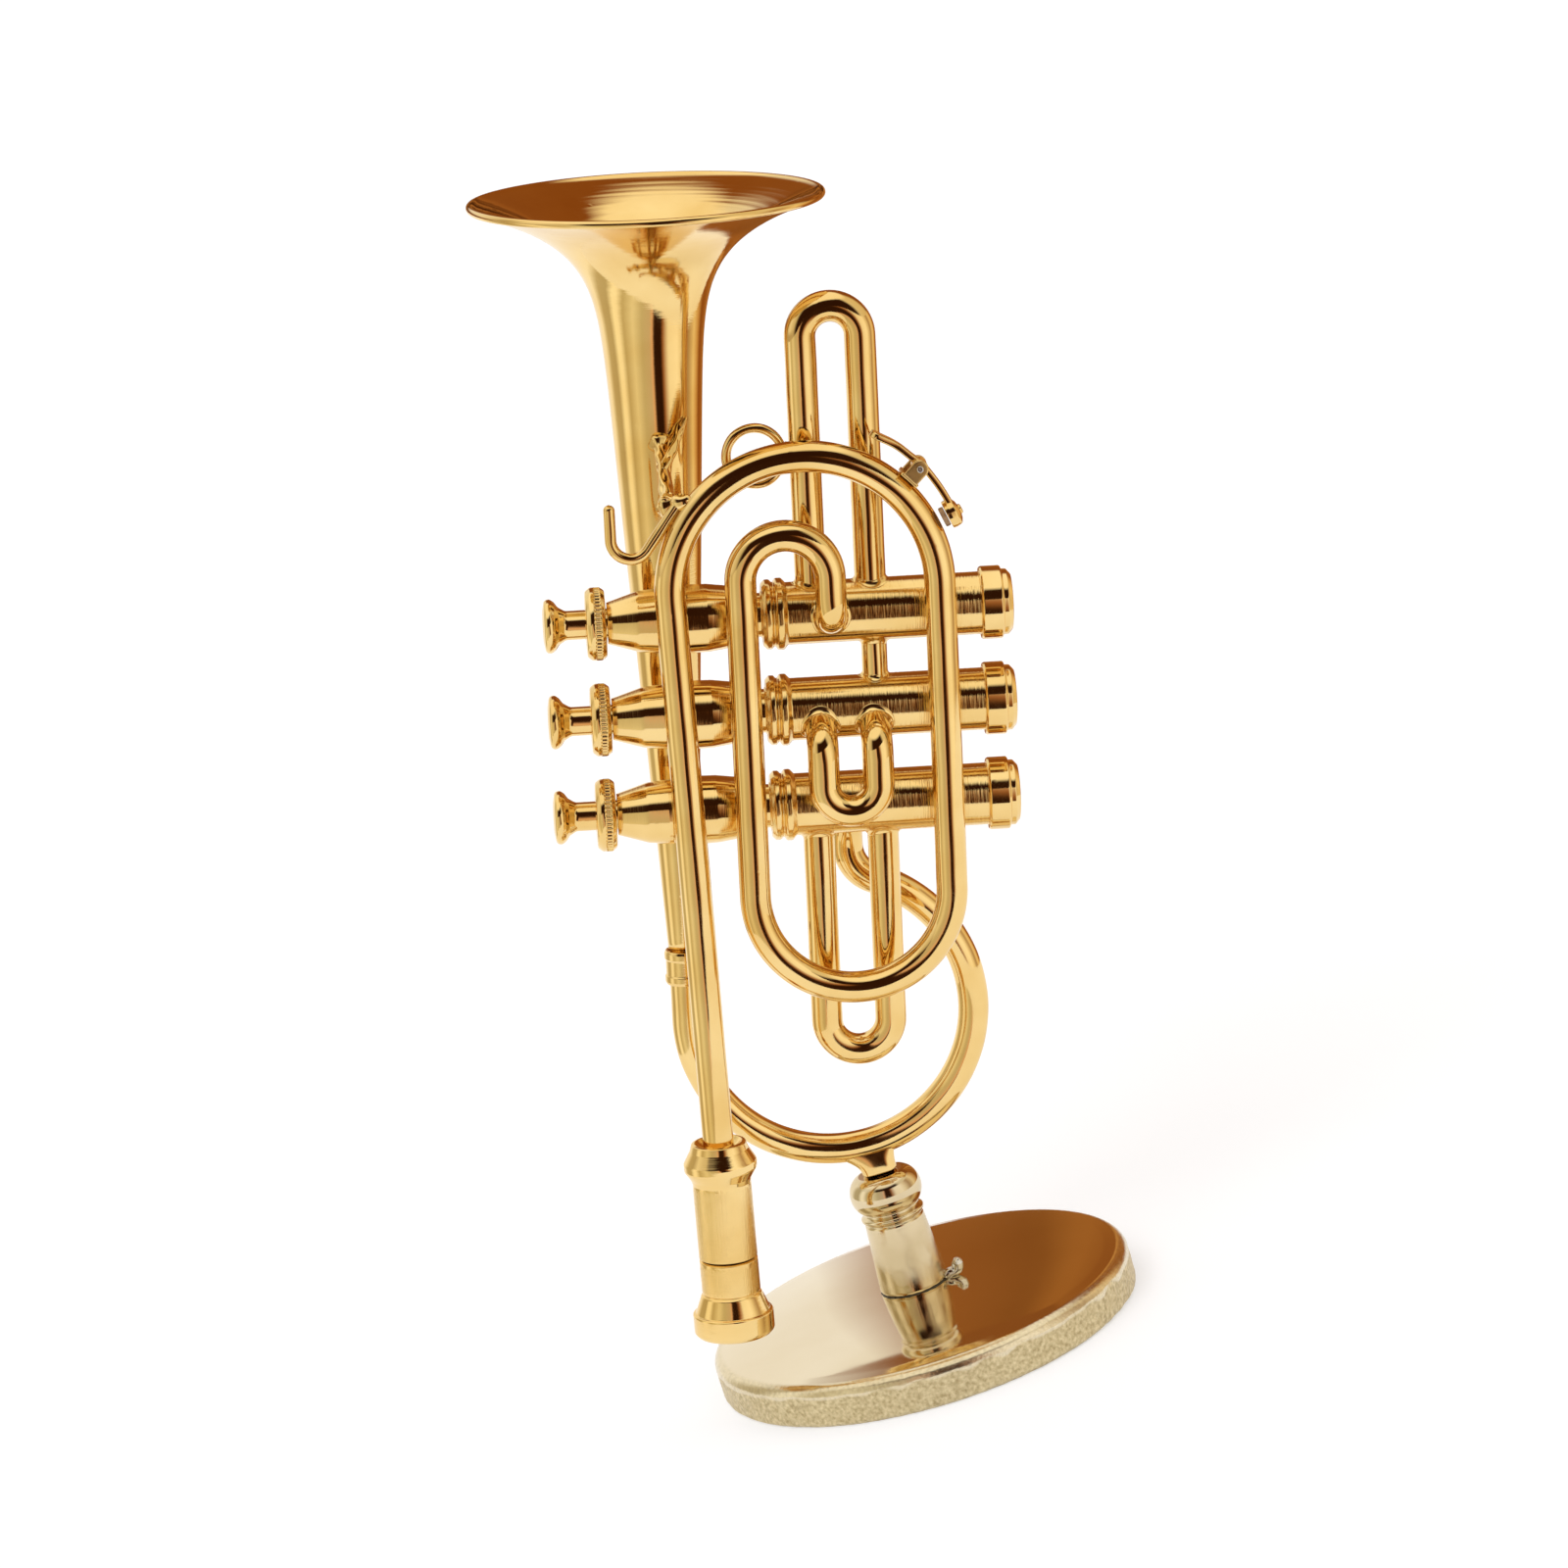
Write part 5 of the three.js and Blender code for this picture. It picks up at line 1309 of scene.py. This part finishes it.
def strap(points, half_width, half_thick):
    """A flat strap along a line in the key's x-z plane: half width x squarish cos a across
    and half thickness x squarish sin a through."""
    points = np.asarray(points, float)
    heading = np.gradient(points, axis=0)
    heading /= np.linalg.norm(heading, axis=1)[:, None]
    out = np.stack([-heading[:, 1], heading[:, 0]], 1)
    angle = turns(40)[None]
    across = np.asarray(half_width)[..., None] * squarish(np.cos(angle))
    through = half_thick * squarish(np.sin(angle)) * np.ones((len(points), 1))
    return on_key(np.stack([points[:, :1] + through * out[:, :1], across,
                            points[:, 1:] + through * out[:, 1:]], -1))


def pad_point(out):
    """The pad's place, `out` from the tube's surface, KEY_PAD round the bend from the pivot."""
    radius = TOP_BEND_R + TUBE_R + out
    return np.array([radius * math.sin(KEY_PAD), 0, radius * math.cos(KEY_PAD) - KEY_PIVOT_R])


ear_angle = np.linspace(0, np.pi, 24)
ear_outline = np.concatenate([
    np.stack([EAR_R * np.cos(ear_angle), EAR_R * np.sin(ear_angle)], 1),
    np.stack([-EAR_R + 0.02 * np.sin(np.linspace(0, 3, 12)), np.linspace(-0.1, -1.35, 12)], 1),
    np.stack([np.linspace(-0.75, 0.75, 12), np.full(12, -1.4)], 1),
    np.stack([np.full(12, EAR_R), np.linspace(-1.35, -0.1, 12)], 1)])


def ear(side):
    """One of the two ears, in the key's x-z plane, KEY_EAR_Y to a side."""
    return skin(f"ear_{side}", plate(ear_outline, 0.5, 0.12, lambda x, z, t: on_key(
        np.stack(np.broadcast_arrays(x, t + side * KEY_EAR_Y, z), -1))))


foot_angle = np.linspace(-0.066, 0.066, 14)
foot_line = np.stack([KEY_FOOT_R * np.sin(foot_angle),
                      KEY_FOOT_R * np.cos(foot_angle) - KEY_PIVOT_R], 1)
key_foot = skin("key_foot", strap(foot_line, np.full(14, KEY_EAR_Y + 0.25), 0.2))
saddle_gilt = polished("saddle_gilt", *GOLD, (0.22, 0.36), dents=0.5)
saddle_mesh = joined("key_saddle", [ear(-1), ear(1), key_foot])
piece("key_saddle", saddle_mesh, saddle_gilt, "cornet", "tubing", "water_key_saddle")

pin_outline = rounded([(0.05, -KEY_PIN_HALF_L, 0), (KEY_PIN_R, -KEY_PIN_HALF_L, 0.12),
                       (KEY_PIN_R, KEY_PIN_HALF_L, 0.12), (0.05, KEY_PIN_HALF_L, 0)], 0.1)
pin_points = spun(pin_outline, 32, KEY_PIVOT, Y, KEY_AXES[:, 0])
piece("key_pin", skin("key_pin", pin_points), bright_steel, "cornet", "steel", "water_key_pin")

hub_outline = rounded(
    [(KEY_HUB_BORE_R, -KEY_HUB_HALF_L, 0), (KEY_HUB_R, -KEY_HUB_HALF_L, 0.12),
     (KEY_HUB_R, KEY_HUB_HALF_L, 0.12), (KEY_HUB_BORE_R, KEY_HUB_HALF_L, 0)], 0.1)
key_hub = skin("key_hub", spun(hub_outline, 48, KEY_PIVOT, Y, KEY_AXES[:, 0]), loop=True)
arm_t = np.linspace(0, 1, 40)
arm_rise = 0.28 - 0.95 * arm_t + 0.22 * np.sin(np.pi * arm_t) ** 2
arm_line = np.stack([-0.5 - 5.1 * arm_t, arm_rise], 1)
arm_tip = np.sqrt(1 - np.clip((arm_t - 0.86) / 0.14, 0, 0.97) ** 2)
arm_width = KEY_HALF_W * (0.78 + 0.22 * step_up(arm_t, 0.45, 0.95)) * arm_tip
key_arm = skin("key_arm", strap(arm_line, arm_width, KEY_HALF_T))
cup_x, _, cup_z = pad_point(0.85 + 0.75)
short_t = np.linspace(0, 1, 24)
short_line = np.stack([0.5 + (cup_x - 0.5) * short_t,
                       0.28 + (cup_z - 0.28) * short_t + 0.15 * np.sin(np.pi * short_t)], 1)
key_short = skin("key_short", strap(short_line, np.full(24, 0.85 * KEY_HALF_W), KEY_HALF_T))
pad_out = KEY_AXES @ np.array([math.sin(KEY_PAD), 0, math.cos(KEY_PAD)])
pad_side = np.cross(Y, pad_out)
cup_outline = rounded(
    [(0.15, 0, 0), (1.36, 0, 0.08), (1.4, 0.4, 0.1), (1.32, 0.95, 0.25),
     (0.85, 1.2, 0.3), (0.5, 1.27, 0.1), (0.45, 1.48, 0.12), (0.15, 1.52, 0)], 0.07)
key_cup = skin("key_cup", spun(cup_outline, 56, on_key(pad_point(0.87)), pad_out, pad_side))
piece("water_key", joined("water_key", [key_hub, key_arm, key_short, key_cup]), wire_gilt,
      "water_key", "tubing", "water_key_lever")

cork_outline = rounded([(0.1, 0, 0), (0.95, 0, 0.12), (CORK_R, 0.2, 0.1),
                        (0.95, CORK_THICK, 0.06), (0.1, CORK_THICK, 0)], 0.06)
cork_pits = ripple(111, 20, 3, 16, 14)
cork_points = spun(cork_outline, 64, on_key(pad_point(0.32)), pad_out, pad_side,
                   lambda angle, r, h: -0.02 * np.abs(cork_pits(angle, h)) * step_up(r, 0.5, 0.9))
cork = stain("cork", (0.20, 0.10, 0.05), (0.50, 0.32, 0.17), 2200, 0.0, 0.8)
piece("key_cork", skin("key_cork", cork_points), cork, "water_key", "cork", "water_key_cork")
